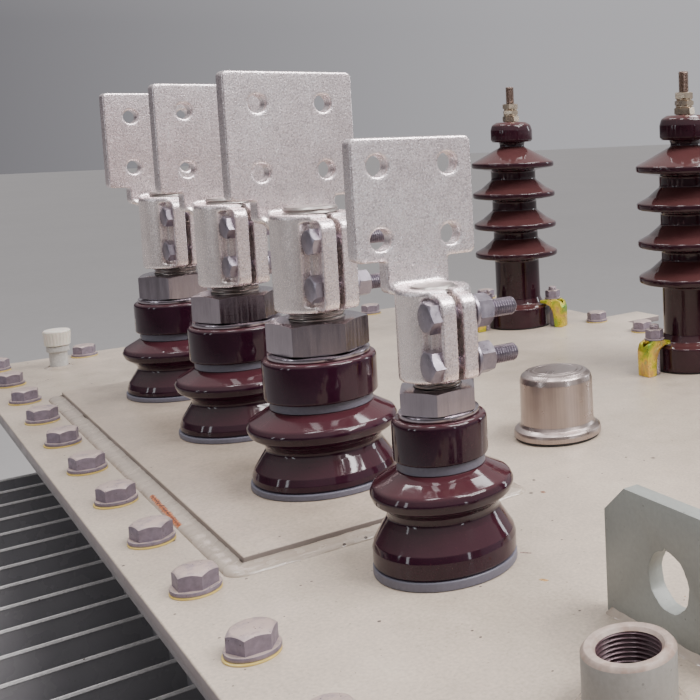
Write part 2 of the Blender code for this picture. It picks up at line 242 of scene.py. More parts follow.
def paint(name, color, rough=0.42, seed=0.0, stains=False, dusty=0.0, spots=1.0, painted_side_shade=None, grain=1.0, lit_crest_colour=None):
    s = Mat(name, color, rough, 0.0)
    s.mottle(2.3, 0.08, 3.0)
    s.mottle(14.0, 0.07 * grain, 4.0)
    s.mottle(70.0, 0.05 * grain, 4.0)
    s.mottle(420.0, 0.12 * grain, 2.0)
    if dusty:
        s.tint(s.math("MULTIPLY", s.span(s.noise(5.0, 5.0, 0.6), 0.42, 0.75), dusty), (0.60, 0.52, 0.44))
    specks(s, 88.0, 0.072, 0.17 * spots, (0.09, 0.06, 0.055), seed)
    specks(s, 62.0, 0.070, 0.12 * spots * spots, (0.06, 0.04, 0.035), seed + 5.3)
    specks(s, 150.0, 0.10, 0.30, tuple(v * 0.66 for v in color), seed + 1.7)
    specks(s, 240.0, 0.12, 0.30, tuple(v * 0.78 for v in color), seed + 2.9)
    specks(s, 31.0, 0.034, 0.16 * spots, (0.30, 0.14, 0.05), seed + 7.7)
    if lit_crest_colour:
        # painted light and shade: the fins' colour is paler towards the top seam and the outer edge, where the light
        # reaches, and stays dark deep between the fins and near the tank wall
        tall = s.node("ShaderNodeSeparateXYZ")
        s.put(tall.inputs[0], s.coord)
        out_x = s.math("SUBTRACT", s.math("ABSOLUTE", tall.outputs[0]), 0.6070)
        out_y = s.math("SUBTRACT", s.math("ABSOLUTE", tall.outputs[1]), 0.3146)
        outer = s.span(s.math("MAXIMUM", out_x, out_y), 0.070, 0.215)
        reach = s.math("MULTIPLY_ADD", outer, 0.60, 0.32)
        s.tint(s.math("MULTIPLY", s.span(tall.outputs[2], 0.972, 1.030), reach), lit_crest_colour)
    # painted shade: faces that are not level are tinted darker, for the shade on the sides of the cover and the plate
    if painted_side_shade:
        up = s.node("ShaderNodeSeparateXYZ")
        s.put(up.inputs[0], s.node("ShaderNodeNewGeometry").outputs["Normal"])
        side_shade_mask = s.math("SUBTRACT", 1.0, s.span(s.math("ABSOLUTE", up.outputs[2]), 0.25, 0.75))
        s.tint(s.math("MULTIPLY", side_shade_mask, 0.85), painted_side_shade)
    if stains:
        streak(s, (0.0123, -0.3239), (0.0935, -0.3252), 0.0022, (0.56, 0.130, 0.003), (0.15, 0.026, 0.004))
        streak(s, (0.2195, -0.0966), (0.2213, -0.0969), 0.0022, (0.34, 0.17, 0.10), (0.18, 0.07, 0.04))
        streak(s, (0.3500, -0.1828), (0.3532, -0.1812), 0.0019, (0.55, 0.34, 0.12), (0.46, 0.22, 0.06))
        streak(s, (0.1915, -0.0868), (0.1925, -0.0872), 0.0016, (0.08, 0.06, 0.055), (0.05, 0.04, 0.04))
        streak(s, (0.2149, -0.1046), (0.2159, -0.1046), 0.0016, (0.08, 0.06, 0.055), (0.05, 0.04, 0.04))
        streak(s, (0.2179, 0.0143), (0.2189, 0.0150), 0.0017, (0.07, 0.05, 0.05), (0.05, 0.04, 0.04))
        streak(s, (0.3060, -0.1700), (0.3110, -0.1660), 0.0010, (0.25, 0.14, 0.12), (0.20, 0.10, 0.09))
        streak(s, (0.1135, -0.3345), (0.1165, -0.3350), 0.0014, (0.10, 0.08, 0.07), (0.07, 0.06, 0.05))
    s.rough(s.noise(38.0, 4.0), rough - 0.07, rough + 0.10)
    s.bump(s.noise(520.0, 2.0, 0.5), 0.10, 0.0004)
    s.bump(s.noise(55.0, 2.0, 0.5), 0.10, 0.0012)
    return s.done()


MATS = {}
MATS["cover"] = paint("cover_paint_finish", (0.472, 0.396, 0.320), 0.36, 0.0, stains=True, dusty=0.10, spots=1.5, painted_side_shade=(0.21, 0.172, 0.178))
MATS["plate"] = paint("plate_paint_finish", (0.425, 0.348, 0.278), 0.36, 2.0, dusty=0.06, spots=0.6, painted_side_shade=(0.20, 0.168, 0.158))
# painted shade: the tank material (shell, fins, base rails) is far darker than the cover paint it shares, for the
# shade under the cover and between the fins
MATS["tank"] = paint("tank_paint_and_painted_shade", (0.112, 0.118, 0.131), 0.25, 5.0, spots=0.35, grain=0.35)
MATS["fin"] = paint("fin_paint_and_painted_shade", (0.112, 0.118, 0.131), 0.25, 5.0, spots=0.35, grain=0.35, lit_crest_colour=(0.600, 0.565, 0.575))
# painted shade: the flange is darker than the cover paint, for the shadow under the cover's edge
MATS["edge"] = paint("flange_paint_and_painted_shade", (0.25, 0.225, 0.225), 0.40, 7.0, spots=0.6)
# painted shade: the lug has the cover's paint, darkened to the tone of its shaded front face
MATS["grey"] = paint("lug_paint_and_painted_shade", (0.290, 0.305, 0.284), 0.42, 9.0, spots=0.35, grain=0.35)
# painted shade: the filler collar has the cover's paint, darkened to the tone of its shaded sides
MATS["collar"] = paint("filler_collar_finish", (0.255, 0.242, 0.222), 0.42, 21.0, spots=0.5, grain=0.5)
MATS["stub"] = paint("stub_paint_finish", (0.46, 0.45, 0.43), 0.40, 13.0, spots=0.3)
# painted highlight: the fin seams and end caps are paler than the fin paint, for the bright lit top edges
MATS["seam"] = paint("fin_seam_painted_highlight", (0.66, 0.64, 0.63), 0.24, 11.0, spots=0.3)

s = Mat("weld_paint_finish", (0.400, 0.334, 0.272), 0.22, 0.0, Coat_Weight=0.4, Coat_Roughness=0.10)
s.mottle(30.0, 0.07).mottle(240.0, 0.05)
streak(s, (0.0123, -0.3239), (0.0935, -0.3252), 0.0022, (0.56, 0.130, 0.003), (0.15, 0.026, 0.004))
specks(s, 62.0, 0.075, 0.16, (0.08, 0.06, 0.05), 2.0)
s.rough(s.noise(60.0, 4.0), 0.13, 0.34)
s.bump(s.noise(110.0, 3.0, 0.6), 0.30, 0.0012)
MATS["weld"] = s.done()


def porcelain(name, color, light, spots):
    s = Mat(name, color, 0.07, 0.0, IOR=1.46)
    s.mottle(6.0, 0.16).mottle(45.0, 0.14, 4.0)
    up = s.node("ShaderNodeSeparateXYZ")
    s.put(up.inputs[0], s.node("ShaderNodeNewGeometry").outputs["Normal"])
    # painted reflection: upward-facing glaze is tinted lighter, for the sheen of the bright ceiling on the shed tops
    s.tint(s.math("MULTIPLY", s.span(up.outputs[2], 0.25, 0.95), 0.34), light)
    # fine pale specks in the glaze, in the same colour
    s.tint(s.math("MULTIPLY", s.span(s.noise(1300.0, 2.0, 0.6), 0.60, 0.76), 0.22), light)
    specks(s, 210.0, 0.07, spots, tuple(v * 0.35 for v in color), 2.0)
    s.rough(s.noise(30.0, 3.0), 0.04, 0.11)
    s.bump(s.noise(26.0, 2.0), 0.16, 0.0020)
    s.bump(s.noise(320.0, 1.0), 0.035, 0.0003)
    return s.done()


# the third colour is the painted ceiling sheen on upward faces, also used for pale specks
MATS["lv"] = porcelain("maroon_glaze_finish", (0.0215, 0.0048, 0.0130), (0.155, 0.050, 0.052), 0.25)
MATS["hv"] = porcelain("chestnut_glaze_finish", (0.0240, 0.0060, 0.0115), (0.195, 0.080, 0.068), 0.20)

s = Mat("sealing_rubber_finish", (0.128, 0.124, 0.158), 0.36, 0.0)
s.mottle(26.0, 0.12).mottle(500.0, 0.08)
s.rough(s.noise(60.0, 3.0), 0.34, 0.52)
s.bump(s.noise(900.0, 2.0), 0.15, 0.0003)
MATS["seal"] = s.done()


def cast(name, color, rough, grain, metal, cloud):
    """Plated casting: a fine light and dark grain over a satin metal skin."""
    s = Mat(name, color, rough, metal)
    s.mottle(9.0, 0.06).mottle(60.0, 0.07)
    s.tint(1.0, s.ramp(s.noise(820.0, 3.0, 0.7), [(0.34, 1.0 - 0.40 * grain), (0.50, 1.0), (0.66, 1.0 + 0.12 * grain)]), "MULTIPLY")
    s.tint(s.math("MULTIPLY", s.span(s.voronoi(1000.0), 0.46, 0.70), 0.28 * grain * grain), (0.30, 0.25, 0.25))
    s.tint(s.math("MULTIPLY", s.span(s.noise(19.0, 6.0, 0.62), 0.50, 0.74), cloud), (0.50, 0.42, 0.42))
    s.tint(s.math("MULTIPLY", s.span(s.noise(300.0, 2.0, 0.5, vec=s.mapped(scale=(1.0, 1.0, 0.12), rot=(0.5, 0.3, 0.0))), 0.72, 0.80), 0.40 * grain), (0.33, 0.28, 0.28))
    s.rough(s.noise(620.0, 3.0), rough - 0.07, rough + 0.10)
    s.bump(s.noise(640.0, 3.0, 0.6), 0.62 * grain, 0.0007)
    s.bump(s.noise(85.0, 2.0), 0.07, 0.0008)
    return s.done()


MATS["tin"] = cast("tinned_flag_finish", (0.99, 0.85, 0.86), 0.28, 0.82, 0.94, 0.30)
MATS["barrel"] = cast("tinned_barrel_finish", (0.95, 0.85, 0.82), 0.23, 0.05, 0.70, 0.08)

s = Mat("brushed_nut_finish", (0.43, 0.38, 0.415), 0.20, 1.0)
v = s.mapped(scale=(1.0, 1.0, 0.04))
s.mottle(40.0, 0.10)
s.tint(1.0, s.ramp(s.noise(1300.0, 2.0, 0.5, vec=v), [(0.35, 0.93), (0.65, 1.05)]), "MULTIPLY")
s.tint(s.math("MULTIPLY", s.span(s.noise(90.0, 5.0, 0.7), 0.60, 0.80), 0.35), (0.26, 0.23, 0.22))
s.rough(s.noise(500.0, 3.0, vec=v), 0.15, 0.27)
s.bump(s.noise(1300.0, 2.0, vec=v), 0.07, 0.0002)
MATS["nut"] = s.done()

s = Mat("thread_metal_finish", (0.42, 0.39, 0.37), 0.34, 1.0)
s.mottle(60.0, 0.15).mottle(800.0, 0.10)
s.bump(s.noise(1400.0, 2.0), 0.15, 0.0002)
MATS["thread"] = s.done()

s = Mat("lilac_zinc_finish", (0.245, 0.205, 0.255), 0.42, 0.50)
s.mottle(30.0, 0.12).mottle(260.0, 0.16, 4.0)
# painted light: upward-facing tops of the zinc heads, washers and nuts are tinted beige, for the light falling on
# them; noise breaks it up
up = s.node("ShaderNodeSeparateXYZ")
s.put(up.inputs[0], s.node("ShaderNodeNewGeometry").outputs["Normal"])
s.tint(s.math("MULTIPLY", s.span(up.outputs[2], 0.55, 0.95), s.span(s.noise(150.0, 4.0, 0.65), 0.22, 0.52)), (0.50, 0.395, 0.355))
specks(s, 420.0, 0.17, 0.26, (0.13, 0.10, 0.11), 1.0)
s.rough(s.noise(180.0, 4.0), 0.40, 0.62)
s.bump(s.noise(700.0, 3.0), 0.22, 0.0003)
MATS["zinc"] = s.done()

s = Mat("yellow_washer_finish", (0.74, 0.56, 0.16), 0.34, 0.30)
s.mottle(40.0, 0.12).mottle(300.0, 0.08)
s.tint(s.math("MULTIPLY", s.span(s.noise(60.0, 3.0), 0.5, 0.8), 0.35), (0.80, 0.74, 0.45))
s.bump(s.noise(600.0, 2.0), 0.12, 0.0002)
MATS["yellow"] = s.done()

s = Mat("clamp_bolt_finish", (0.30, 0.270, 0.315), 0.32, 0.90)
s.mottle(60.0, 0.14).mottle(420.0, 0.12, 4.0)
s.rough(s.noise(240.0, 4.0), 0.27, 0.44)
s.bump(s.noise(800.0, 3.0), 0.18, 0.0002)
MATS["steel"] = s.done()

s = Mat("chromate_clamp_finish", (0.62, 0.50, 0.05), 0.30, 0.75)
s.col = s.ramp(s.noise(52.0, 3.0, 0.55, distort=0.8), [(0.30, (0.20, 0.42, 0.06)), (0.42, (0.52, 0.50, 0.04)), (0.52, (0.78, 0.60, 0.07)), (0.62, (0.66, 0.40, 0.12)), (0.72, (0.34, 0.52, 0.18))])
s.mottle(300.0, 0.10)
s.rough(s.noise(90.0, 3.0), 0.22, 0.40)
s.bump(s.noise(500.0, 2.0), 0.10, 0.0002)
MATS["chromate"] = s.done()

s = Mat("brass_nut_finish", (0.56, 0.46, 0.35), 0.27, 1.0)
s.mottle(80.0, 0.10).mottle(300.0, 0.06)
s.rough(s.noise(150.0, 3.0), 0.24, 0.36)
s.bump(s.noise(400.0, 2.0), 0.05, 0.0002)
MATS["brass"] = s.done()

s = Mat("brown_stud_finish", (0.23, 0.17, 0.145), 0.42, 0.9)
s.mottle(90.0, 0.18).mottle(900.0, 0.12)
s.bump(s.noise(1300.0, 2.0), 0.15, 0.0002)
MATS["stud"] = s.done()

s = Mat("polished_cap_finish", (0.445, 0.375, 0.352), 0.32, 0.96)
v = s.mapped(scale=(1.0, 1.0, 0.02), loc=(0, 0, 0))
s.mottle(24.0, 0.05)
s.tint(1.0, s.ramp(s.noise(700.0, 3.0, vec=v), [(0.35, 0.93), (0.65, 1.04)]), "MULTIPLY")
s.tint(s.math("MULTIPLY", s.span(s.noise(90.0, 5.0, 0.7), 0.60, 0.80), 0.20), (0.30, 0.26, 0.24))
s.rough(s.noise(60.0, 4.0, 0.6), 0.24, 0.40)
s.bump(s.noise(24.0, 2.0), 0.30, 0.0020)
s.bump(s.noise(900.0, 2.0, vec=v), 0.06, 0.0002)
MATS["cap"] = s.done()

s = Mat("white_knob_finish", (0.70, 0.655, 0.58), 0.38, 0.0, Subsurface_Weight=0.06)
s.mottle(50.0, 0.05).mottle(400.0, 0.03)
s.tint(s.math("MULTIPLY", s.span(s.noise(120.0, 4.0), 0.55, 0.85), 0.25), (0.48, 0.42, 0.35))
s.bump(s.noise(800.0, 2.0), 0.10, 0.0002)
MATS["white"] = s.done()

s = Mat("dark_rubber_finish", (0.022, 0.021, 0.022), 0.55, 0.0)
s.mottle(80.0, 0.2)
s.bump(s.noise(900.0, 2.0), 0.2, 0.0003)
MATS["dark"] = s.done()

# painted shade: the bore's thread is coloured very dark for the shade inside the socket
s = Mat("bore_thread_finish", (0.085, 0.045, 0.055), 0.30, 0.25)
s.mottle(80.0, 0.18).mottle(600.0, 0.12)
s.bump(s.noise(900.0, 2.0), 0.2, 0.0003)
MATS["bore"] = s.done()

s = Mat("socket_rim_finish", (0.385, 0.305, 0.262), 0.46, 0.0)
s.mottle(60.0, 0.12).mottle(300.0, 0.12)
s.tint(s.math("MULTIPLY", s.span(s.noise(130.0, 4.0), 0.48, 0.70), 0.55), (0.24, 0.135, 0.095))
s.bump(s.noise(500.0, 3.0), 0.25, 0.0004)
MATS["rim"] = s.done()


# ------------------------------------------------------------------ mesh helpers
def shade(me, angle=32.0):
    for p in me.polygons:
        p.use_smooth = True
    me.set_sharp_from_angle(angle=math.radians(angle))


def piece(bm, name, mat, replaces=(), angle=32.0, extra=(), weld=1e-6):
    """A finished mesh, placed on the body and standing for the CAD nodes named."""
    if weld:
        bmesh.ops.remove_doubles(bm, verts=bm.verts[:], dist=weld)
    bmesh.ops.recalc_face_normals(bm, faces=bm.faces[:])
    me = bpy.data.meshes.new(name)
    bm.to_mesh(me)
    bm.free()
    for k in (mat,) + tuple(extra):
        me.materials.append(MATS[k])
    shade(me, angle)
    ob = bpy.data.objects.new(name, me)
    link(ob)
    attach(ob, "root")
    if replaces:
        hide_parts(*replaces)
    return ob


def move(bm, verts, loc=(0, 0, 0), turn=0.0, axis="Z"):
    if turn:
        bmesh.ops.rotate(bm, matrix=Matrix.Rotation(turn, 3, axis), verts=verts)
    bmesh.ops.translate(bm, vec=loc, verts=verts)


def fil(pts, n=5):
    """Rounds each (r, z, radius) corner of a profile."""
    out = []
    for i, p in enumerate(pts):
        rad = p[2] if len(p) > 2 else 0.0
        q = Vector((p[0], p[1]))
        if rad <= 0 or i == 0 or i == len(pts) - 1:
            out.append(q)
            continue
        a = Vector(pts[i - 1][:2]) - q
        b = Vector(pts[i + 1][:2]) - q
        la, lb = a.length, b.length
        a.normalize()
        b.normalize()
        half = max(0.05, a.angle(b) / 2)
        d = min(rad / math.tan(half), 0.49 * la, 0.49 * lb)
        s0, s1 = q + a * d, q + b * d
        for k in range(n + 1):
            t = k / n
            out.append(s0 * (1 - t) ** 2 + q * 2 * t * (1 - t) + s1 * t ** 2)
    return [(v.x, v.y) for v in out]


def revolve(bm, pts, segs=80, closed=False, mat=0, wave=None):
    rings, made = [], []
    for r, z in pts:
        if r < 1e-7:
            rings.append([bm.verts.new((0, 0, z))])
        else:
            ring = []
            for i in range(segs):
                a = math.tau * i / segs
                rr = r if wave is None else wave(r, z, a)
                ring.append(bm.verts.new((rr * math.cos(a), rr * math.sin(a), z)))
            rings.append(ring)
    pairs = list(zip(rings, rings[1:]))
    if closed:
        pairs.append((rings[-1], rings[0]))
    for A, B in pairs:
        if len(A) == 1 and len(B) == 1:
            continue
        for i in range(segs):
            j = (i + 1) % segs
            if len(A) == 1:
                f = bm.faces.new((A[0], B[i], B[j]))
            elif len(B) == 1:
                f = bm.faces.new((A[i], B[0], A[j]))
            else:
                f = bm.faces.new((A[i], B[i], B[j], A[j]))
            f.material_index = mat
    return [v for ring in rings for v in ring]


def mm(pts):
    return [tuple(c * MM for c in p) for p in pts]


def turned(name, pts, mat, loc, replaces=(), segs=80, closed=False, angle=32.0, n=5):
    bm = bmesh.new()
    vs = revolve(bm, fil(mm(pts), n), segs, closed)
    move(bm, vs, loc)
    return piece(bm, name, mat, replaces, angle)


def hexagon(bm, af, z0, z1, inner=0.0, top=True, bottom=False, per=10, mat=0, chamfer=0.53):
    """Hex prism whose corners are cut by a cone, as on real nuts and bolt heads; inner is the hole's radius."""
    segs = 6 * per
    rc = af * (0.5 - 0.025)
    tan = math.tan(math.radians(30)) * chamfer / 0.53

    def radius(i):
        a = (i % per) / per * math.radians(60) - math.radians(30)
        return (af / 2) / math.cos(a)

    def ring(fr, fz):
        out = []
        for i in range(segs):
            a = math.radians(60) * (i // per) + math.radians(60) * (i % per) / per
            r = fr(i)
            out.append(bm.verts.new((r * math.cos(a), r * math.sin(a), fz(i))))
        return out
    rings = []
    if inner > 0:
        rings.append(ring(lambda i: inner, lambda i: z0))
    if bottom:
        rings.append(ring(lambda i: rc, lambda i: z0))
    rings.append(ring(radius, lambda i: z0 + ((radius(i) - rc) * tan if bottom else 0)))
    rings.append(ring(radius, lambda i: z1 - ((radius(i) - rc) * tan if top else 0)))
    if top:
        rings.append(ring(lambda i: rc, lambda i: z1))
        rings.append(ring(lambda i: rc * 0.93, lambda i: z1 + (0.0002 if inner == 0 else 0)))
    if inner > 0:
        rings.append(ring(lambda i: inner, lambda i: z1))
    for A, B in zip(rings, rings[1:]):
        for i in range(segs):
            j = (i + 1) % segs
            bm.faces.new((A[i], A[j], B[j], B[i])).material_index = mat
    if inner > 0:
        A, B = rings[-1], rings[0]
        for i in range(segs):
            j = (i + 1) % segs
            bm.faces.new((A[i], A[j], B[j], B[i])).material_index = mat
    else:
        bm.faces.new(rings[0][::-1]).material_index = mat
        bm.faces.new(rings[-1]).material_index = mat
    return [v for r in rings for v in r]


def threaded(bm, r, z0, z1, pitch, segs=36, depth=None, tip=0.0, foot=0.0, inside=False, mat=0, cap0=True, cap1=True, per=6):
    """A screw thread as one helical skin; tip and foot cut the first turns back as a chamfer."""
    depth = depth or pitch * 0.55
    n = max(2, int(round((z1 - z0) / pitch * per)))
    rings = []
    for k in range(n + 1):
        z = z0 + (z1 - z0) * k / n
        ring = []
        for i in range(segs):
            a = math.tau * i / segs
            ph = (z / pitch - i / segs) % 1.0
            tri = abs(2 * ph - 1)
            tri = min(1.0, max(0.0, (tri - 0.10) / 0.75))
            rr = r + depth * tri if inside else r - depth * tri
            if not inside:
                lim = 1e9
                if tip:
                    lim = min(lim, r - tip + (z1 - z))
                if foot:
                    lim = min(lim, r - foot + (z - z0))
                rr = min(rr, lim)
            ring.append(bm.verts.new((rr * math.cos(a), rr * math.sin(a), z)))
        rings.append(ring)
    for A, B in zip(rings, rings[1:]):
        for i in range(segs):
            j = (i + 1) % segs
            bm.faces.new((A[i], A[j], B[j], B[i])).material_index = mat
    if cap0:
        bm.faces.new(rings[0][::-1]).material_index = mat
    if cap1:
        bm.faces.new(rings[-1]).material_index = mat
    return [v for r_ in rings for v in r_]


def ring(bm, ri, ro, z0, z1, edge=0.0004, segs=56, mat=0):
    """A flat washer with softened edges."""
    return revolve(bm, fil([(ri, z0, 0), (ro, z0, edge), (ro, z1, edge), (ri, z1, 0)], 2), segs, True, mat)


def softbox(lo, hi, bevel, seg=3, name="tool"):
    bm = bmesh.new()
    bmesh.ops.create_cube(bm, size=1.0)
    bmesh.ops.scale(bm, vec=[hi[i] - lo[i] for i in range(3)], verts=bm.verts[:])
    bmesh.ops.translate(bm, vec=[(hi[i] + lo[i]) / 2 for i in range(3)], verts=bm.verts[:])
    if bevel:
        bmesh.ops.bevel(bm, geom=bm.edges[:], offset=bevel, segments=seg, affect="EDGES", profile=0.5, clamp_overlap=True)
    return bm


def temp(bm, name):
    bmesh.ops.recalc_face_normals(bm, faces=bm.faces[:])
    me = bpy.data.meshes.new(name)
    bm.to_mesh(me)
    bm.free()
    ob = bpy.data.objects.new(name, me)
    link(ob)
    return ob


def combine(base, tools, remesh=None, smooth=0, sm=0.5, keep=None):
    """Runs booleans, then if asked a fine remesh that rounds every edge as in a casting; returns the mesh."""
    for tool, op in tools:
        m = base.modifiers.new("b", "BOOLEAN")
        m.operation = op
        m.solver = "EXACT"
        m.object = tool
    if remesh:
        m = base.modifiers.new("r", "REMESH")
        m.mode = "VOXEL"
        m.voxel_size = remesh
    if smooth:
        m = base.modifiers.new("s", "SMOOTH")
        m.factor = sm
        m.iterations = smooth
    if keep:
        m = base.modifiers.new("d", "DECIMATE")
        m.ratio = keep
    dg = bpy.context.evaluated_depsgraph_get()
    me = bpy.data.meshes.new_from_object(base.evaluated_get(dg))
    for o in [base] + [t for t, _ in tools]:
        bpy.data.objects.remove(o, do_unlink=True)
    return me


def tube(bm, path, radius, segs=10, closed=False, mat=0, squash=None):
    """A round bead along a path; radius may be a function of the point's number."""
    n = len(path)
    rings = []
    for i, p in enumerate(path):
        a = path[(i - 1) % n] if closed or i > 0 else path[i]
        b = path[(i + 1) % n] if closed or i < n - 1 else path[i]
        t = (Vector(b) - Vector(a)).normalized()
        up = Vector((0, 0, 1))
        side = t.cross(up).normalized()
        r = radius(i) if callable(radius) else radius
        ring_ = []
        for k in range(segs):
            an = math.tau * k / segs
            h = math.sin(an) * (squash or 1.0)
            ring_.append(bm.verts.new(Vector(p) + side * (math.cos(an) * r) + up * (h * r)))
        rings.append(ring_)
    pairs = list(zip(rings, rings[1:]))
    if closed:
        pairs.append((rings[-1], rings[0]))
    for A, B in pairs:
        for k in range(segs):
            j = (k + 1) % segs
            bm.faces.new((A[k], A[j], B[j], B[k])).material_index = mat
    if not closed:
        bm.faces.new(rings[0][::-1]).material_index = mat
        bm.faces.new(rings[-1]).material_index = mat
    return [v for r_ in rings for v in r_]


def bead_path(pts, step=0.0022, closed=False):
    out = []
    seq = list(zip(pts, pts[1:] + ([pts[0]] if closed else [])))
    if not closed:
        seq = list(zip(pts, pts[1:]))
    for a, b in seq:
        a, b = Vector(a), Vector(b)
        k = max(1, int((b - a).length / step))
        for i in range(k):
            out.append(a.lerp(b, i / k))
    if not closed:
        out.append(Vector(pts[-1]))
    return out


def fillet(name, corners, prof, mat="weld", seed=1.0, step=0.0022, ripple=0.0003, wander=0.0008, z=ZC, round_path=False):
    """A weld laid against an upright outline: prof is (outward, height) from the outline, and it fans round the corners."""
    pts = []
    n = len(corners)
    for i in range(n):
        a, b = Vector(corners[i]), Vector(corners[(i + 1) % n])
        prev = Vector(corners[i - 1])
        d0, d1 = (a - prev).normalized(), (b - a).normalized()
        n0, n1 = Vector((d0.y, -d0.x)), Vector((d1.y, -d1.x))
        turn = math.atan2(n0.x * n1.y - n0.y * n1.x, n0.dot(n1))
        fan = 1 if round_path else 9
        for k in range(fan):
            t = k / fan
            nn = Matrix.Rotation(turn * t, 2) @ n0
            pts.append((a.copy(), nn))
        k = max(1, int((b - a).length / step))
        for j in range(1 if not round_path else 0, k):
            pts.append((a.lerp(b, j / k), n1))
    bm = bmesh.new()
    rows = []
    for p, nn in pts:
        q0 = p + nn * 0.008
        f1 = noise.noise(Vector((q0.x * 45, q0.y * 45, seed)))
        f2 = noise.noise(Vector((q0.x * 150, q0.y * 150, seed + 5)))
        row = []
        last = prof[-1][0]
        for d, h in prof:
            k = max(0.0, d / last)
            dd = d + k * (wander * (f1 * 1.6 + f2 * 0.8))
            hh = h + (ripple * (f1 + 1.2 * f2) if h > 0.0002 else 0)
            row.append(bm.verts.new((p.x + nn.x * dd, p.y + nn.y * dd, z + hh)))
        rows.append(row)
    for A, B in zip(rows, rows[1:] + rows[:1]):
        for i in range(len(prof)):
            j = (i + 1) % len(prof)
            bm.faces.new((A[i], A[j], B[j], B[i]))
    return piece(bm, name, mat, angle=60)


def bevelled(node, mat, width, name, seg=3, angle=30.0):
    """A copy of a CAD node with its edges eased, standing for it."""
    me = nodes[node].data.copy()
    me.name = name
    ob = bpy.data.objects.new(name, me)
    link(ob)
    bm = bmesh.new()
    bm.from_mesh(me)
    bmesh.ops.remove_doubles(bm, verts=bm.verts[:], dist=1e-5)
    bmesh.ops.dissolve_limit(bm, angle_limit=math.radians(1.0), verts=bm.verts[:], edges=bm.edges[:])
    sharp = [e for e in bm.edges if len(e.link_faces) == 2 and e.calc_face_angle(0) > math.radians(angle)]
    bmesh.ops.bevel(bm, geom=sharp, offset=width, segments=seg, affect="EDGES", profile=0.5, clamp_overlap=True)
    bm.to_mesh(me)
    bm.free()
    me.materials.clear()
    me.materials.append(MATS[mat])
    for p in me.polygons:
        p.material_index = 0
    shade(me, 40)
    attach(ob, "root")
    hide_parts(node)
    return ob


# ------------------------------------------------------------------ cover, tank and base
bevelled("cover_plate", "cover", 0.0012, "cover_top")
bevelled("tank_flange", "edge", 0.0010, "tank_rim")
bevelled("tank_body", "tank", 0.0060, "tank_shell", seg=4)
bevelled("base_channel_lv", "tank", 0.0030, "base_rail_lv")
bevelled("base_channel_hv", "tank", 0.0030, "base_rail_hv")
bevelled("lv_insert_plate", "plate", 0.0009, "lv_plate")
x0, x1, y0, y1, pt = PLATE
fillet("lv_plate_weld", [(x0, y0), (x1, y0), (x1, y1), (x0, y1)],
       mm([(-0.35, 4.4), (0.9, 4.0), (2.4, 3.3), (4.6, 2.9), (7.5, 2.8), (10.0, 2.4), (11.6, 1.5), (12.6, 0.6), (12.9, 0.05), (-0.35, 0.05)]), seed=4.0, wander=0.0013)


def fin_panel(name, node, count, depth, half, pitch, ang, off, z0=0.170, z1=1.033, thick=0.010):
    """A folded wall: deep hollow fins with round outer folds, pinched and seamed at top and bottom."""
    bm = bmesh.new()

    def outline(t, d0, d1, n=8):
        pts = [(-t / 2, d0)]
        r = t / 2
        for k in range(n + 1):
            a = math.pi - math.pi * k / n
            pts.append((r * math.cos(a), d1 - r + r * math.sin(a)))
        pts.append((t / 2, d0))
        return pts
    levels = [(z0, 0.0030), (z0 + 0.012, 0.0030), (z0 + 0.026, thick * 0.86), (z0 + 0.040, thick), (z1 - 0.040, thick), (z1 - 0.026, thick * 0.86),
              (z1 - 0.012, 0.0030), (z1, 0.0030)]
    for i in range(count):
        cx = (i - (count - 1) / 2) * pitch
        lean = (random.Random(i * 7 + count).random() - 0.5) * 0.0010
        rings = []
        for z, t in levels:
            inset = 0.0 if t > 0.004 else 0.0015
            rings.append([bm.verts.new((cx + x + lean * (y / depth), y, z)) for x, y in outline(t, 0.0005, depth - inset)])
        for A, B in zip(rings, rings[1:]):
            for k in range(len(A)):
                j = (k + 1) % len(A)
                bm.faces.new((A[k], A[j], B[j], B[k])).material_index = 0
        # the end caps and the seam bead take the pale seam colour, a painted highlight
        bm.faces.new(rings[0][::-1]).material_index = 1
        bm.faces.new(rings[-1]).material_index = 1
        # seam bead along the top edge
        pth = bead_path([(cx, 0.004, z1 - 0.0006), (cx, depth - 0.004, z1 - 0.0006)], 0.010)
        tube(bm, [Vector((p.x + lean * (p.y / depth), p.y, p.z)) for p in pth], 0.0019, 6, mat=1)
    # back sheet
    r = bmesh.ops.create_cube(bm, size=1.0)
    bmesh.ops.scale(bm, vec=(2 * half - 0.002, 0.003, z1 - z0 - 0.006), verts=r["verts"])
    bmesh.ops.translate(bm, vec=(0, 0.0016, (z0 + z1) / 2), verts=r["verts"])
    move(bm, bm.verts[:], off, ang)
    return piece(bm, name, "fin", (node,), 40, ("seam",), weld=0)


TX, TY = 0.607, 0.3146
fin_panel("fin_wall_lv", "fins_lv", 23, 0.230, TX, 0.050, math.pi, (0, -TY - 0.0003, 0))
fin_panel("fin_wall_hv", "fins_hv", 23, 0.230, TX, 0.050, 0.0, (0, TY + 0.0003, 0))
fin_panel("fin_wall_far", "fins_far", 12, 0.180, TY, 0.050, math.pi / 2, (-TX - 0.0003, 0, 0))
fin_panel("fin_wall_near", "fins_near", 12, 0.180, TY, 0.050, -math.pi / 2, (TX + 0.0003, 0, 0))

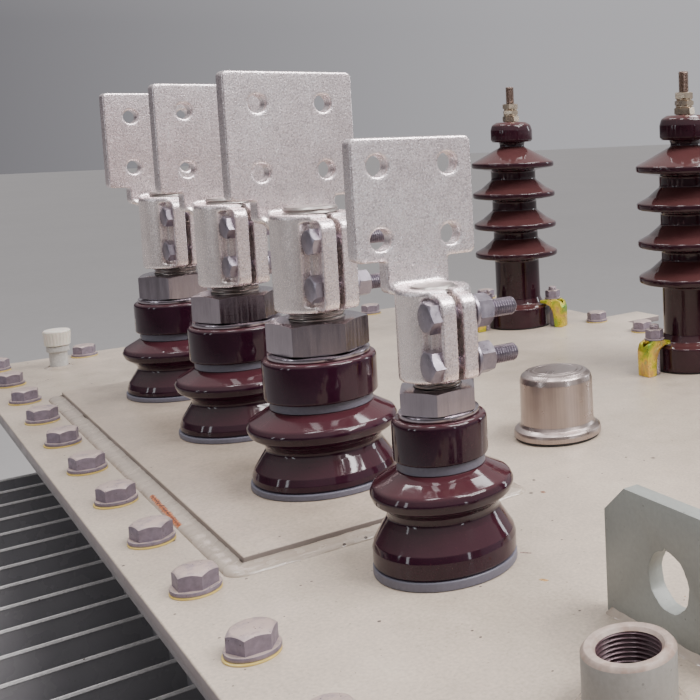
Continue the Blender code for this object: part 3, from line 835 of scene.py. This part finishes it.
# ------------------------------------------------------------------ cover bolts
BOLT_PITCH = 0.10502
spots = []
for k in range(-3, 10):
    x = 0.31506 - BOLT_PITCH * k
    spots.append((x, -0.3462))
    spots.append((x, 0.3462))
for i in range(1, 7):
    y = -0.3462 + 0.0989 * i
    spots.append((0.6437, y))
    spots.append((-0.6437, y))
TURNS = {(0.315, -0.346): 26.5, (0.210, -0.346): 1.0, (0.105, -0.346): 14.0, (0.0, -0.346): 18.0, (-0.105, -0.346): 16.0, (-0.210, -0.346): 42.0, (-0.315, -0.346): 20.0}
heads, washers, yellows, tails = bmesh.new(), bmesh.new(), bmesh.new(), bmesh.new()
for n_, (x, y) in enumerate(spots):
    rnd = random.Random(n_ * 13 + 5)
    turn = math.radians(TURNS.get((round(x, 3), round(y, 3)), rnd.uniform(0, 60)))
    ox, oy = rnd.uniform(-0.0003, 0.0009), rnd.uniform(-0.0008, 0.0004)
    move(yellows, ring(yellows, 0.0090, 0.01535 + rnd.uniform(0, 0.0003), ZC + 0.0001, ZC + 0.0012, 0.0003, 44), (x + ox, y + oy, 0))
    move(washers, ring(washers, 0.0088, 0.0151, ZC + 0.0013, ZC + 0.0041, 0.0006), (x, y, 0))
    move(heads, hexagon(heads, 0.0240, ZC + 0.0041, ZC + 0.0143, chamfer=0.62), (x, y, 0), turn)
    zf = ZC - 0.0203
    move(tails, ring(tails, 0.0088, 0.0160, zf - 0.0030, zf - 0.0001, 0.0005, 30), (x, y, 0))
    move(tails, hexagon(tails, 0.0240, zf - 0.0165, zf - 0.0030, inner=0.0078, bottom=True, per=6), (x, y, 0), rnd.uniform(0, 1))
    move(tails, threaded(tails, 0.0079, ZC - 0.0530, zf - 0.0150, 0.0020, 18, foot=0.0014, per=4), (x, y, 0))
piece(heads, "cover_bolt_heads", "zinc", angle=24, weld=0)
piece(washers, "cover_bolt_washers", "zinc", weld=0)
piece(yellows, "cover_bolt_yellow_washers", "yellow", weld=0)
piece(tails, "cover_bolt_tails", "zinc", angle=28, weld=0)

# ------------------------------------------------------------------ lifting lugs
for tag, sx in (("near", 1), ("far", -1)):
    node = "lifting_lug_" + tag
    bm = bmesh.new()
    w, h, cx, cz = 0.056, 0.0773, 0.019, 0.0166
    outline = [(-w, 0.0003), (w, 0.0003), (w, h - cz), (w - cx, h), (-w + cx, h), (-w, h - cz)]
    vs = [bm.verts.new((px, -LUG_T / 2, pz)) for px, pz in outline]
    f = bm.faces.new(vs)
    r = bmesh.ops.extrude_face_region(bm, geom=[f])
    bmesh.ops.translate(bm, vec=(0, LUG_T, 0), verts=[g for g in r["geom"] if isinstance(g, bmesh.types.BMVert)])
    move(bm, bm.verts[:], (sx * LUG_X, LUG_Y, ZC))
    base = temp(bm, "lug")
    bm = bmesh.new()
    # a flame-cut hole: its wall is slightly scalloped
    segs = 96
    rings = []
    for yy in (-0.02, -0.004, 0.004, 0.02):
        rg = []
        for i in range(segs):
            a = math.tau * i / segs
            rr = 0.0168 + 0.00022 * math.sin(a * 9) + 0.0001 * math.sin(a * 23 + yy * 300) + 0.0016 * math.exp(-((a - 1.70) / 0.055) ** 2)
            rg.append(bm.verts.new((rr * math.cos(a), yy, rr * math.sin(a))))
        rings.append(rg)
    for A, B in zip(rings, rings[1:]):
        for i in range(segs):
            j = (i + 1) % segs
            bm.faces.new((A[i], A[j], B[j], B[i]))
    bm.faces.new(rings[0][::-1])
    bm.faces.new(rings[-1])
    move(bm, bm.verts[:], (sx * LUG_X, LUG_Y, ZC + 0.035))
    cut = temp(bm, "lug_cut")
    me = combine(base, [(cut, "DIFFERENCE")])
    bm = bmesh.new()
    bm.from_mesh(me)
    bpy.data.meshes.remove(me)
    sharp = [e_ for e_ in bm.edges if len(e_.link_faces) == 2 and e_.calc_face_angle(0) > math.radians(40)]
    bmesh.ops.bevel(bm, geom=sharp, offset=0.0006, segments=2, affect="EDGES", profile=0.5, clamp_overlap=True)
    piece(bm, "lug_plate_" + tag, "grey", (node,), 35)
    ex, ey = w - 0.0042, LUG_T / 2
    lx = sx * LUG_X
    fillet("lug_weld_" + tag, [(lx - ex, LUG_Y - ey), (lx + ex, LUG_Y - ey), (lx + ex, LUG_Y + ey), (lx - ex, LUG_Y + ey)],
           mm([(-0.3, 3.6), (0.5, 2.9), (1.4, 1.8), (2.4, 1.0), (3.2, 0.5), (3.7, 0.05), (-0.3, 0.05)]), seed=6.0 + sx, ripple=0.0005, wander=0.0006)

# ------------------------------------------------------------------ low-voltage bushings
LV_SPEC = {
    "n": dict(zb=0.0, seal=(45.8, 6.2), bore=15.3, top=66.0,
              body=[(28.4, 66.0, 1.4), (33.6, 62.8, 5), (43.6, 57.4, 5), (45.7, 52.6, 3.5), (43.8, 47.4, 4), (37.0, 42.6, 4.5), (35.1, 37.6, 4),
                    (37.6, 33.0, 2.5), (44.4, 21.6, 4), (45.6, 17.5, 3), (45.6, 8.0, 1.4), (44.4, 6.4, 0.6)],
              collar=(30.1, 72.5, 99.0, 27.0), ring=28.0, wash=(25.6, 99.3, 102.5), af=46.0, nut=118.0, stud=15.0, stud_top=182.6, pitch=2.0),
    "p": dict(zb=8.0, seal=(56.0, 12.9), bore=21.3, top=69.0,
              body=[(39.4, 69.0, 1.4), (45.5, 65.4, 5), (54.8, 60.0, 5), (57.2, 55.6, 4), (54.8, 49.8, 4.5), (46.0, 43.6, 5), (43.0, 38.8, 4),
                    (45.8, 34.0, 3), (52.6, 23.6, 4), (54.4, 18.5, 2.5), (54.6, 14.6, 1.2), (53.6, 13.1, 0.5)],
              collar=(43.1, 76.2, 108.0, 37.9), ring=39.0, wash=(38.7, 108.3, 111.8), af=66.5, nut=137.2, stud=21.0, stud_top=225.0, pitch=3.0),
}
TERM = {
    "n": dict(bar=(23.7, 123.0, 182.0), jaw=(34.5, 12.4, 125.0, 179.5), slit=4.0, pocket=(16.2, 31.0, 10.9, 127.5, 177.0), neck=(21.8, 176.0, 160.0, 11.0),
              flag=(84.0, 12.5, 18.0, 198.0, 276.8), holes=(48.8, 6.9, 212.0, 259.0), bolts=(24.0, (136.0, 166.3)), ytail=44.0, ynut=(12.0, 14.2, 25.2)),
    "p": dict(bar=(31.0, 144.5, 220.0), jaw=(44.0, 13.9, 147.0, 217.0), slit=4.2, pocket=(22.5, 40.0, 12.2, 150.0, 214.0), neck=(32.8, 212.0, 179.0, 13.0),
              flag=(105.0, 13.0, 22.5, 230.5, 330.2), holes=(53.5, 6.9, 251.8, 305.2), bolts=(32.0, (164.2, 200.0)), ytail=45.0, ynut=(13.2, 15.4, 26.4)),
}


def rounded_plate(x0, x1, w, z0, z1, corner, n=6):
    """A flat plate across X with round corners in its YZ outline."""
    bm = bmesh.new()
    pts = []
    for cy, cz, a0 in ((w / 2 - corner, z1 - corner, 0), (-w / 2 + corner, z1 - corner, 90), (-w / 2 + corner, z0 + corner, 180), (w / 2 - corner, z0 + corner, 270)):
        for k in range(n + 1):
            a = math.radians(a0 + 90 * k / n)
            pts.append((cy + corner * math.cos(a), cz + corner * math.sin(a)))
    vs = [bm.verts.new((x0, y, z)) for y, z in pts]
    f = bm.faces.new(vs)
    r = bmesh.ops.extrude_face_region(bm, geom=[f])
    bmesh.ops.translate(bm, vec=(x1 - x0, 0, 0), verts=[g for g in r["geom"] if isinstance(g, bmesh.types.BMVert)])
    return bm


def terminal(tag):
    t = TERM["n" if tag == "n" else "p"]
    n = "lv_%s_" % tag
    k = MM
    br, bz0, bz1 = t["bar"]
    bm = bmesh.new()
    revolve(bm, fil(mm([(0, bz1, 0), (br, bz1, 2.5), (br, bz0, 2.2), (0, bz0, 0)]), 4), 72)
    bmesh.ops.remove_doubles(bm, verts=bm.verts[:], dist=1e-6)
    base = temp(bm, "t")
    tools = []
    # jaws: one block, rounded in front, split later
    reach, jh, jz0, jz1 = t["jaw"]
    bm = bmesh.new()
    prof = fil([(br * 0.3, jz0, 0), (reach, jz0, 7.0), (reach, jz1, 10.0), (br * 0.3, jz1, 0)], 6)
    vs = [bm.verts.new((px * k, -jh * k, pz * k)) for px, pz in prof]
    f = bm.faces.new(vs)
    r = bmesh.ops.extrude_face_region(bm, geom=[f])
    bmesh.ops.translate(bm, vec=(0, 2 * jh * k, 0), verts=[g for g in r["geom"] if isinstance(g, bmesh.types.BMVert)])
    tools.append((temp(bm, "t_jaws"), "UNION"))
    w, th, front, fz0, fz1 = t["flag"]
    xb = -front - th
    tools.append((temp(rounded_plate(xb * k, -front * k, w * k, fz0 * k, fz1 * k, 4.5 * k), "t_flag"), "UNION"))
    nh, nz, wz, wx = t["neck"]
    tools.append((temp(rounded_plate((xb + 0.01) * k, (-front - 0.01) * k, 2 * nh * k, nz * k, (fz0 + 14) * k, 5.0 * k), "t_neck"), "UNION"))
    # the neck flows down into the barrel
    bm = bmesh.new()
    rows = []
    for i in range(19):
        v = i / 18
        hw = br * 0.42 + (nh - br * 0.42) * v ** 2.3
        back = br * 0.70 + (-xb - 0.3 - br * 0.70) * v ** 1.5
        lead = wx + (front + 1.0 - wx) * v ** 3.0
        zz = wz + (nz + 6.0 - wz) * v
        rows.append([bm.verts.new((px_ * k, py_ * k, zz * k)) for px_, py_ in ((-back, -hw), (-lead, -hw), (-lead, hw), (-back, hw))])
    for A, B in zip(rows, rows[1:]):
        for i in range(4):
            j = (i + 1) % 4
            bm.faces.new((A[i], A[j], B[j], B[i]))
    bm.faces.new(rows[0][::-1])
    bm.faces.new(rows[-1])
    tools.append((temp(bm, "t_web"), "UNION"))
    bore = 15.2 if tag == "n" else 21.2
    bm = bmesh.new()
    revolve(bm, fil(mm([(0, bz1 + 5, 0), (bore, bz1 + 5, 0), (bore, bz0 - 5, 0), (0, bz0 - 5, 0)]), 1), 48)
    bmesh.ops.remove_doubles(bm, verts=bm.verts[:], dist=1e-6)
    tools.append((temp(bm, "t_bore"), "DIFFERENCE"))
    sl = t["slit"] / 2
    tools.append((temp(softbox((bore * 0.5 * k, -sl * k, (bz0 - 8) * k), ((reach + 10) * k, sl * k, (bz1 + 8) * k), 0), "t_slit"), "DIFFERENCE"))
    px0, px1, py, pz0, pz1 = t["pocket"]
    for sgn in (-1, 1):
        lo = (px0 * k, (py if sgn > 0 else -py - 20) * k, pz0 * k)
        hi = (px1 * k, (py + 20 if sgn > 0 else -py) * k, pz1 * k)
        tools.append((temp(softbox(lo, hi, 0.0008, 2), "t_pocket"), "DIFFERENCE"))
    hs, hr, ha, hb = t["holes"]
    for yy in (-hs / 2, hs / 2):
        for zz in (ha, hb):
            bm = bmesh.new()
            revolve(bm, mm([(0, -40), (hr + 12, -40 + 26), (hr + 0.9, -th / 2 - 0.2), (hr, -th / 2 + 0.9), (hr, th / 2 - 0.9), (hr + 0.9, th / 2 + 0.2), (hr + 12, 14), (0, 40)]), 40)
            bmesh.ops.remove_doubles(bm, verts=bm.verts[:], dist=1e-6)
            move(bm, bm.verts[:], (0, 0, 0), math.pi / 2, "Y")
            move(bm, bm.verts[:], ((xb + th / 2) * k, yy * k, zz * k))
            tools.append((temp(bm, "t_hole"), "DIFFERENCE"))
    me = combine(base, tools, remesh=0.00115, smooth=4, sm=0.5, keep=0.45)
    bm = bmesh.new()
    bm.from_mesh(me)
    bpy.data.meshes.remove(me)
    # the barrel is smoother than the flag and the jaws
    for f in bm.faces:
        c = f.calc_center_median()
        f.material_index = 1 if c.z < (bz1 - 3.0) * k and c.x < (br + 2.0) * k else 0
    turn = math.radians(LV_TURN[tag])
    move(bm, bm.verts[:], (LV_X[tag], LV_Y, ZC), turn)
    piece(bm, n + "clamp_and_flag", "tin", (n + "terminal",), 60, ("barrel",), weld=0)
    # clamp bolts
    bx, zs = t["bolts"]
    y_head = -t["pocket"][2]
    w0, w1, n1 = t["ynut"]
    bolts = bmesh.new()
    for i, zz in enumerate(zs):
        rnd = random.Random(ord(tag) * 3 + i)
        vs = []
        vs += hexagon(bolts, 0.0185, 0.0, 0.0078, chamfer=0.66)
        head = vs
        move(bolts, head, (0, 0, 0), math.radians(rnd.uniform(0, 60)))
        move(bolts, head, (0, 0, 0), math.pi / 2, "X")
        move(bolts, head, (0, y_head * k - 0.0001, 0))
        wsh = ring(bolts, 0.0064, 0.0118, 0.0, (w1 - w0) * k, 0.0004, 40)
        move(bolts, wsh, (0, 0, 0), -math.pi / 2, "X")
        move(bolts, wsh, (0, w0 * k, 0))
        nt = hexagon(bolts, 0.0185, 0.0, (n1 - w1) * k, inner=0.0055, bottom=True, chamfer=0.6)
        move(bolts, nt, (0, 0, 0), math.radians(rnd.uniform(0, 60)))
        move(bolts, nt, (0, 0, 0), -math.pi / 2, "X")
        move(bolts, nt, (0, w1 * k, 0))
        sh = threaded(bolts, 0.0059, (y_head + 1) * k, t["ytail"] * k, 0.00175, 24, tip=0.0016, per=5)
        move(bolts, sh, (0, 0, 0), -math.pi / 2, "X")
        allv = head + wsh + nt + sh
        move(bolts, allv, (bx * k, 0, zz * k))
    move(bolts, bolts.verts[:], (LV_X[tag], LV_Y, ZC), turn)
    piece(bolts, n + "clamp_bolts", "steel", angle=26, weld=0)


for tag in ("n", "c", "b", "a"):
    q = LV_SPEC["n" if tag == "n" else "p"]
    n = "lv_%s_" % tag
    L = (LV_X[tag], LV_Y, ZC)
    sr, sz = q["seal"]
    turned(n + "foot_ring", [(q["bore"], sz, 0), (sr, sz, 1.2), (sr + 0.15, q["zb"] + 0.3, 0.8), (q["bore"], q["zb"] + 0.3, 0)], "seal", L, (n + "base_seal",), 96, True)
    zi = q["body"][-1][1]
    turned(n + "porcelain", [(q["bore"], q["top"], 0)] + q["body"] + [(q["bore"], zi, 0)], "lv", L, (n + "insulator",), 88, True, 50, 7)
    cr, c0, c1, ft = q["collar"]
    turned(n + "upper_ring", [(q["bore"], c1, 0), (cr, c1, 4.0), (cr, c0, 4.6), (ft, c0 - 0.1, 0.4), (ft, q["top"] + 0.3, 0), (q["bore"], q["top"] + 0.3, 0)],
           "lv", L, (n + "collar",), 84, True, 50, 7)
    turned(n + "upper_seal", [(ft + 0.05, q["top"] + 0.3, 0), (q["ring"], q["top"] + 0.3, 0.8), (q["ring"], c0 - 0.15, 0.8), (ft + 0.05, c0 - 0.15, 0)],
           "seal", L, (), 80, True)
    wr, w0, w1 = q["wash"]
    bm = bmesh.new()
    ring(bm, (q["bore"]) * MM, wr * MM, w0 * MM, w1 * MM, 0.0007, 80)
    move(bm, hexagon(bm, q["af"] * MM, w1 * MM + 0.0001, q["nut"] * MM, inner=q["bore"] * MM, bottom=True, chamfer=0.15 if tag == "n" else 0.25, per=12), (0, 0, 0), math.radians(NUT_TURN[tag]))
    move(bm, bm.verts[:], L)
    piece(bm, n + "nut_and_washer", "nut", (n + "stud",), 24, weld=0)
    bm = bmesh.new()
    threaded(bm, (q["stud"]) * MM, (w0 - 6) * MM, q["stud_top"] * MM, q["pitch"] * MM, 40, tip=0.0018, per=6, depth=q["pitch"] * 0.4 * MM)
    move(bm, bm.verts[:], L)
    piece(bm, n + "threaded_stud", "thread", (), 40, weld=0)
    terminal(tag)

# ------------------------------------------------------------------ high-voltage bushings
for tag in ("a", "b", "c"):
    n = "hv_%s_" % tag
    L = (HV_X[tag], HV_Y, ZC)
    pts = [(6.1, 290.5, 0), (20.5, 290.5, 5), (27.0, 286.5, 6), (29.2, 279.0, 4), (29.2, 265.5, 2.5), (26.8, 262.6, 1.0), (18.4, 262.2, 1.2), (17.2, 259.0, 1.5)]
    for zz, rt, up in ((231.1, 17.2, 24.5), (188.7, 31.3, 21.0), (145.4, 31.3, 21.0), (104.8, 31.3, 21.0)):
        pts += [(rt, zz + up, 4.0), (45.0, zz + 9.4, 12.0), (57.9, zz + 2.6, 3.2), (57.7, zz - 4.4, 3.2), (50.0, zz - 5.8, 3.0), (31.3, zz - 9.2, 3.0)]
    pts += [(31.3, 41.0, 4.5), (34.5, 33.4, 3.0), (40.5, 31.2, 3.0), (44.8, 28.0, 2.5), (44.8, 2.4, 1.2), (43.0, 0.8, 0.4), (6.1, 0.8, 0)]
    turned(n + "porcelain", pts, "hv", L, (n + "insulator",), 72, True, 50, 5)
    turned(n + "foot_seal", [(30.0, 0.1, 0), (44.2, 0.1, 0.2), (44.2, 1.3, 0.2), (30.0, 1.3, 0)], "dark", L, (), 64, True)
    bm = bmesh.new()
    move(bm, hexagon(bm, 0.0200, 0.2908, 0.2992, inner=0.0062, bottom=True, chamfer=0.45), (0, 0, 0), 0.9)
    ring(bm, 0.0062, 0.0100, 0.2993, 0.3010, 0.0004, 40)
    move(bm, hexagon(bm, 0.0195, 0.3011, 0.3070, inner=0.0062, bottom=True, chamfer=0.45), (0, 0, 0), 0.6)
    ring(bm, 0.0062, 0.0088, 0.3071, 0.3086, 0.0004, 40)
    move(bm, hexagon(bm, 0.0200, 0.3087, 0.3162, inner=0.0062, bottom=True, chamfer=0.45), (0, 0, 0), 0.35)
    move(bm, bm.verts[:], L)
    piece(bm, n + "nuts", "brass", (n + "stud",), 26, weld=0)
    bm = bmesh.new()
    threaded(bm, 0.00595, 0.2860, 0.3398, 0.00150, 24, tip=0.0012, per=6)
    move(bm, bm.verts[:], L)
    piece(bm, n + "threaded_stud", "stud", (), 40, weld=0)
    for i, a in enumerate((-90.0, 30.0, 150.0)):
        rot = math.radians(a)
        cl = "%sclamp_%d" % (n, i + 1)
        prof = fil([(71.5, 0.3, 1.0), (72.0, 28.0, 4.0), (69.5, 36.5, 5.0), (62.0, 40.0, 5.0), (54.0, 39.4, 3.0), (39.0, 37.6, 1.2), (38.6, 33.6, 1.2),
                    (47.0, 33.2, 3.0), (54.5, 29.5, 6.0), (58.6, 20.0, 8.0), (59.8, 8.0, 4.0), (60.4, 0.3, 1.0)], 5)
        bm = bmesh.new()
        vs = [bm.verts.new((px * MM, -0.0092, pz * MM)) for px, pz in prof]
        f = bm.faces.new(vs)
        r = bmesh.ops.extrude_face_region(bm, geom=[f])
        bmesh.ops.translate(bm, vec=(0, 0.0184, 0), verts=[g for g in r["geom"] if isinstance(g, bmesh.types.BMVert)])
        base = temp(bm, "c")
        tools = []
        # pressed channel: hollow between its two cheeks
        inner = [(69.2, -4), (69.2, 28.0), (66.5, 34.0), (61.0, 37.4), (54.0, 36.9), (50.0, 36.4), (50.0, 20.0), (50.0, -4)]
        bm = bmesh.new()
        vs = [bm.verts.new((px * MM, -0.0066, pz * MM)) for px, pz in inner]
        f = bm.faces.new(vs)
        r = bmesh.ops.extrude_face_region(bm, geom=[f])
        bmesh.ops.translate(bm, vec=(0, 0.0132, 0), verts=[g for g in r["geom"] if isinstance(g, bmesh.types.BMVert)])
        tools.append((temp(bm, "c_in"), "DIFFERENCE"))
        # relief at the outer bend
        bm = bmesh.new()
        revolve(bm, mm([(0, 20), (3.6, 20), (3.6, 60), (0, 60)]), 24)
        bmesh.ops.remove_doubles(bm, verts=bm.verts[:], dist=1e-6)
        bmesh.ops.scale(bm, vec=(1.0, 1.35, 1.0), verts=bm.verts[:])
        move(bm, bm.verts[:], (0.0668, 0, 0))
        tools.append((temp(bm, "c_rel"), "DIFFERENCE"))
        me = combine(base, tools)
        bm = bmesh.new()
        bm.from_mesh(me)
        bpy.data.meshes.remove(me)
        sharp = [e_ for e_ in bm.edges if len(e_.link_faces) == 2 and e_.calc_face_angle(0) > math.radians(50)]
        bmesh.ops.bevel(bm, geom=sharp, offset=0.0007, segments=2, affect="EDGES", profile=0.5, clamp_overlap=True)
        move(bm, bm.verts[:], (0, 0, 0), rot)
        move(bm, bm.verts[:], L)
        piece(bm, cl + "_bracket", "chromate", (cl,), 35)
        bm = bmesh.new()
        ring(bm, 0.0062, 0.0112, 0.0398, 0.0416, 0.0004, 40)
        move(bm, hexagon(bm, 0.0180, 0.0417, 0.0518, inner=0.0055, bottom=True, chamfer=0.5), (0, 0, 0), 0.5 + i)
        threaded(bm, 0.0058, 0.0010, 0.0570, 0.00175, 20, tip=0.0012, per=4)
        move(bm, bm.verts[:], (0.0545, 0, 0))
        move(bm, bm.verts[:], (0, 0, 0), rot)
        move(bm, bm.verts[:], L)
        piece(bm, cl + "_bolt", "zinc", angle=26, weld=0)

# ------------------------------------------------------------------ cover fittings
turned("tap_changer_hood", [(0, 61.2, 0), (13.0, 61.15, 2), (19.6, 61.0, 0.3), (20.2, 60.5, 0.2), (20.8, 60.9, 0.3), (23.6, 60.7, 0.3), (24.2, 60.2, 0.2), (24.8, 60.5, 0.5),
                            (28.0, 59.8, 2.5), (31.6, 57.0, 3.5), (32.8, 52.0, 3), (33.2, 14.5, 2.2), (34.6, 11.6, 1.2), (36.8, 10.4, 1.2), (38.9, 8.9, 1.3),
                            (39.5, 6.5, 1.0), (39.4, 2.6, 0.5), (36.0, 2.2, 0), (0, 2.2, 0)], "cap", (CAP[0], CAP[1], ZC), ("tap_changer_cap",), 112, False, 50, 6)
turned("tap_changer_gasket", [(20, 0.2, 0), (37.8, 0.2, 0.3), (37.8, 2.1, 0.3), (20, 2.1, 0)], "dark", (CAP[0], CAP[1], ZC), (), 80, True)

bm = bmesh.new()
R, B, H = 0.0235, 0.0160, 0.0320
vs = revolve(bm, fil([(B + 0.0002, H - 0.0022, 0), (B + 0.0016, H - 0.0004, 0.0004), (B + 0.0026, H, 0.0004), (R - 0.0019, H, 0.0009), (R, H - 0.0022, 0.0010)], 4), 80, False, 1)
vs += revolve(bm, [(R, H - 0.0022), (R, 0.0003), (B + 0.003, 0.0003)], 80, False, 0)
vs += threaded(bm, B, 0.0040, H - 0.0022, 0.0024, 80, depth=0.0013, inside=True, mat=2, cap0=True, cap1=False, per=8)
move(bm, bm.verts[:], (SOCKET[0], SOCKET[1], ZC))
piece(bm, "filler_collar", "collar", ("filler_socket",), 50, ("rim", "bore"), weld=1e-5)
ring_pts = [(SOCKET[0] + R * math.cos(math.tau * i / 72), SOCKET[1] + R * math.sin(math.tau * i / 72)) for i in range(72)]
fillet("filler_weld", ring_pts, mm([(-0.3, 4.6), (0.8, 3.6), (2.2, 2.2), (4.0, 1.1), (5.0, 0.05), (-0.3, 0.05)]), seed=12.0, ripple=0.0004, wander=0.0005, round_path=True)

bm = bmesh.new()
revolve(bm, fil(mm([(0, 27.7, 0), (12.6, 27.7, 0.8), (12.6, 20.8, 0.8), (10.1, 20.2, 0.6), (10.1, 1.2, 0.8), (11.6, 0.3, 0), (0, 0.3, 0)]), 3), 48)
move(bm, bm.verts[:], (POCKET[0], POCKET[1], ZC))
piece(bm, "thermometer_stub", "stub", ("pocket_stub",), 35)
ring_pts = [(POCKET[0] + 0.0116 * math.cos(math.tau * i / 48), POCKET[1] + 0.0116 * math.sin(math.tau * i / 48)) for i in range(48)]
fillet("stub_weld", ring_pts, mm([(-0.3, 2.6), (0.7, 2.0), (2.0, 1.2), (3.6, 0.6), (4.8, 0.05), (-0.3, 0.05)]), seed=15.0, ripple=0.0002, wander=0.0005, round_path=True)
bm = bmesh.new()


def ribs(r, z, a):
    k = max(0.0, min(1.0, (z - 0.0295) / 0.002, (0.0455 - z) / 0.001))
    return r - 0.00045 * k * (0.5 + 0.5 * math.cos(a * 24)) if r > 0.0125 else r


cap_prof = fil(mm([(0, 48.0, 0), (9.0, 48.0, 2), (14.0, 47.4, 1.4), (15.2, 45.6, 1.0), (15.2, 42.0, 0.5), (14.0, 28.4, 0.6), (0, 28.3, 0)]), 4)
dense = []
for p, q in zip(cap_prof, cap_prof[1:]):
    k = 5 if abs(p[1] - q[1]) > 0.004 else 1
    dense += [(p[0] + (q[0] - p[0]) * i / k, p[1] + (q[1] - p[1]) * i / k) for i in range(k)]
dense.append(cap_prof[-1])
revolve(bm, dense, 144, wave=ribs)
move(bm, bm.verts[:], (POCKET[0], POCKET[1], ZC))
piece(bm, "pocket_knob", "white", ("pocket_cap",), 50)

# ------------------------------------------------------------------ floor, light and camera
s = Mat("floor_finish", (0.50, 0.49, 0.485), 0.6, 0.0)
s.mottle(0.6, 0.02).mottle(9.0, 0.02)
# the floor is a little darker far from the lamps
sep = s.node("ShaderNodeSeparateXYZ")
s.put(sep.inputs[0], s.coord)
away = s.math("MULTIPLY", s.math("SUBTRACT", sep.outputs[0], sep.outputs[1]), 0.7071)
s.tint(s.span(away, 2.6, 6.0), (0.145, 0.142, 0.150))
floor_mat = s.done()
bm = bmesh.new()
bmesh.ops.create_grid(bm, x_segments=1, y_segments=1, size=60.0)
me = bpy.data.meshes.new("floor")
bm.to_mesh(me)
bm.free()
me.materials.append(floor_mat)
floor = bpy.data.objects.new("floor", me)
link(floor)
floor.location = (0, 0, 0)

world = bpy.data.worlds.new("soft_room")
bpy.context.scene.world = world
world.use_nodes = True
wt = world.node_tree
bg = wt.nodes["Background"]
tc = wt.nodes.new("ShaderNodeTexCoord")


def wdot(v):
    n = wt.nodes.new("ShaderNodeVectorMath")
    n.operation = "DOT_PRODUCT"
    wt.links.new(tc.outputs["Generated"], n.inputs[0])
    n.inputs[1].default_value = Vector(v).normalized()
    return n.outputs["Value"]


def wramp(fac, stops):
    n = wt.nodes.new("ShaderNodeValToRGB")
    wt.links.new(fac, n.inputs["Fac"])
    cr = n.color_ramp
    while len(cr.elements) > 1:
        cr.elements.remove(cr.elements[-1])
    cr.elements[0].position, cr.elements[0].color = stops[0][0], (*stops[0][1], 1)
    for p, c in stops[1:]:
        cr.elements.new(p).color = (*c, 1)
    return n.outputs["Color"]


# a studio with a pale wall behind the object, a bright ceiling and a darker side behind the viewer
half = wt.nodes.new("ShaderNodeMath")
half.operation = "MULTIPLY_ADD"
wt.links.new(wdot((0.10, 0.99, 0.0)), half.inputs[0])
half.inputs[1].default_value = 0.5
half.inputs[2].default_value = 0.5
wall = wramp(half.outputs[0], [(0.0, (0.060, 0.055, 0.070)), (0.40, (0.10, 0.095, 0.11)), (0.72, (0.58, 0.57, 0.60)), (1.0, (0.82, 0.81, 0.83))])
up = wramp(wdot((0, 0, 1)), [(0.10, (0, 0, 0)), (0.55, (1, 1, 1))])
mixn = wt.nodes.new("ShaderNodeMix")
mixn.data_type = "RGBA"
wt.links.new(up, mixn.inputs[0])
wt.links.new(wall, mixn.inputs[6])
mixn.inputs[7].default_value = (0.92, 0.89, 0.90, 1)
wt.links.new(mixn.outputs[2], bg.inputs[0])
bg.inputs[1].default_value = 0.80


def area(name, loc, target, sx, sy, power, color=(1, 1, 1)):
    d = bpy.data.lights.new(name, "AREA")
    d.shape = "RECTANGLE"
    d.size, d.size_y = sx, sy
    d.energy = power
    d.color = color
    ob = bpy.data.objects.new(name, d)
    link(ob)
    ob.location = loc
    ob.rotation_euler = (Vector(target) - Vector(loc)).to_track_quat("-Z", "Y").to_euler()
    ob.visible_camera = False
    return ob


for i_ in range(4):
    d_ = (i_ - 1.5) * 0.85
    area("key_tube_%d" % (i_ + 1), (2.4 + 0.80 * d_, 1.7 + 0.57 * d_, 4.2 + 0.20 * d_), (0, 0, 1.2), 2.4, 0.20, 50, (1.0, 0.965, 0.955))
for i_, (px_, py_) in enumerate(((-1.9, -0.5), (0.5, -1.0), (1.5, 0.5), (-0.9, 2.4))):
    area("skylight_%d" % (i_ + 1), (px_, py_, 4.6), (px_ * 0.6, py_ * 0.6, 1.0), 0.60, 1.30, 33, (1.0, 0.985, 1.0))

for i_, (px_, py_, w_, p_) in enumerate(((0.5, -5.2, 0.40, 13), (-0.9, -4.9, 0.24, 7), (5.6, 0.6, 0.36, 14), (0.2, 5.4, 0.60, 30))):
    area("window_%d" % (i_ + 1), (px_, py_, 2.4), (0.1, 0.0, 1.3), w_, 1.9, p_, (0.90, 0.95, 1.0))

cam = bpy.data.cameras.new("camera")
F, PPX, PPY = 1023.83, 676.54, 216.88
cam.sensor_fit = "HORIZONTAL"
cam.sensor_width = 36.0
cam.lens = F * 36.0 / 700.0
cam.shift_x = (350.0 - PPX) / 700.0
cam.shift_y = (PPY - 350.0) / 700.0
cam.clip_start = 0.05
cam.clip_end = 200.0
camera = bpy.data.objects.new("camera", cam)
link(camera)
YAW, PITCH, ROLL = 0.7061, 0.0888, -0.0296
cal = (math.sin(YAW) * math.cos(PITCH), math.cos(YAW) * math.cos(PITCH), -math.sin(PITCH))
right = (math.cos(YAW), -math.sin(YAW), 0.0)


def to_row(v):
    return Vector((-v[1], v[0], v[2]))


fwd = to_row(cal)
r0 = to_row(right)
u0 = r0.cross(fwd)
rr_ = r0 * math.cos(ROLL) + u0 * math.sin(ROLL)
uu_ = u0 * math.cos(ROLL) - r0 * math.sin(ROLL)
rot = Matrix((rr_, uu_, -fwd)).transposed().to_4x4()
rot.translation = Vector((0.8766, -0.5127, ZC + 0.2787))
camera.matrix_world = rot
bpy.context.scene.camera = camera
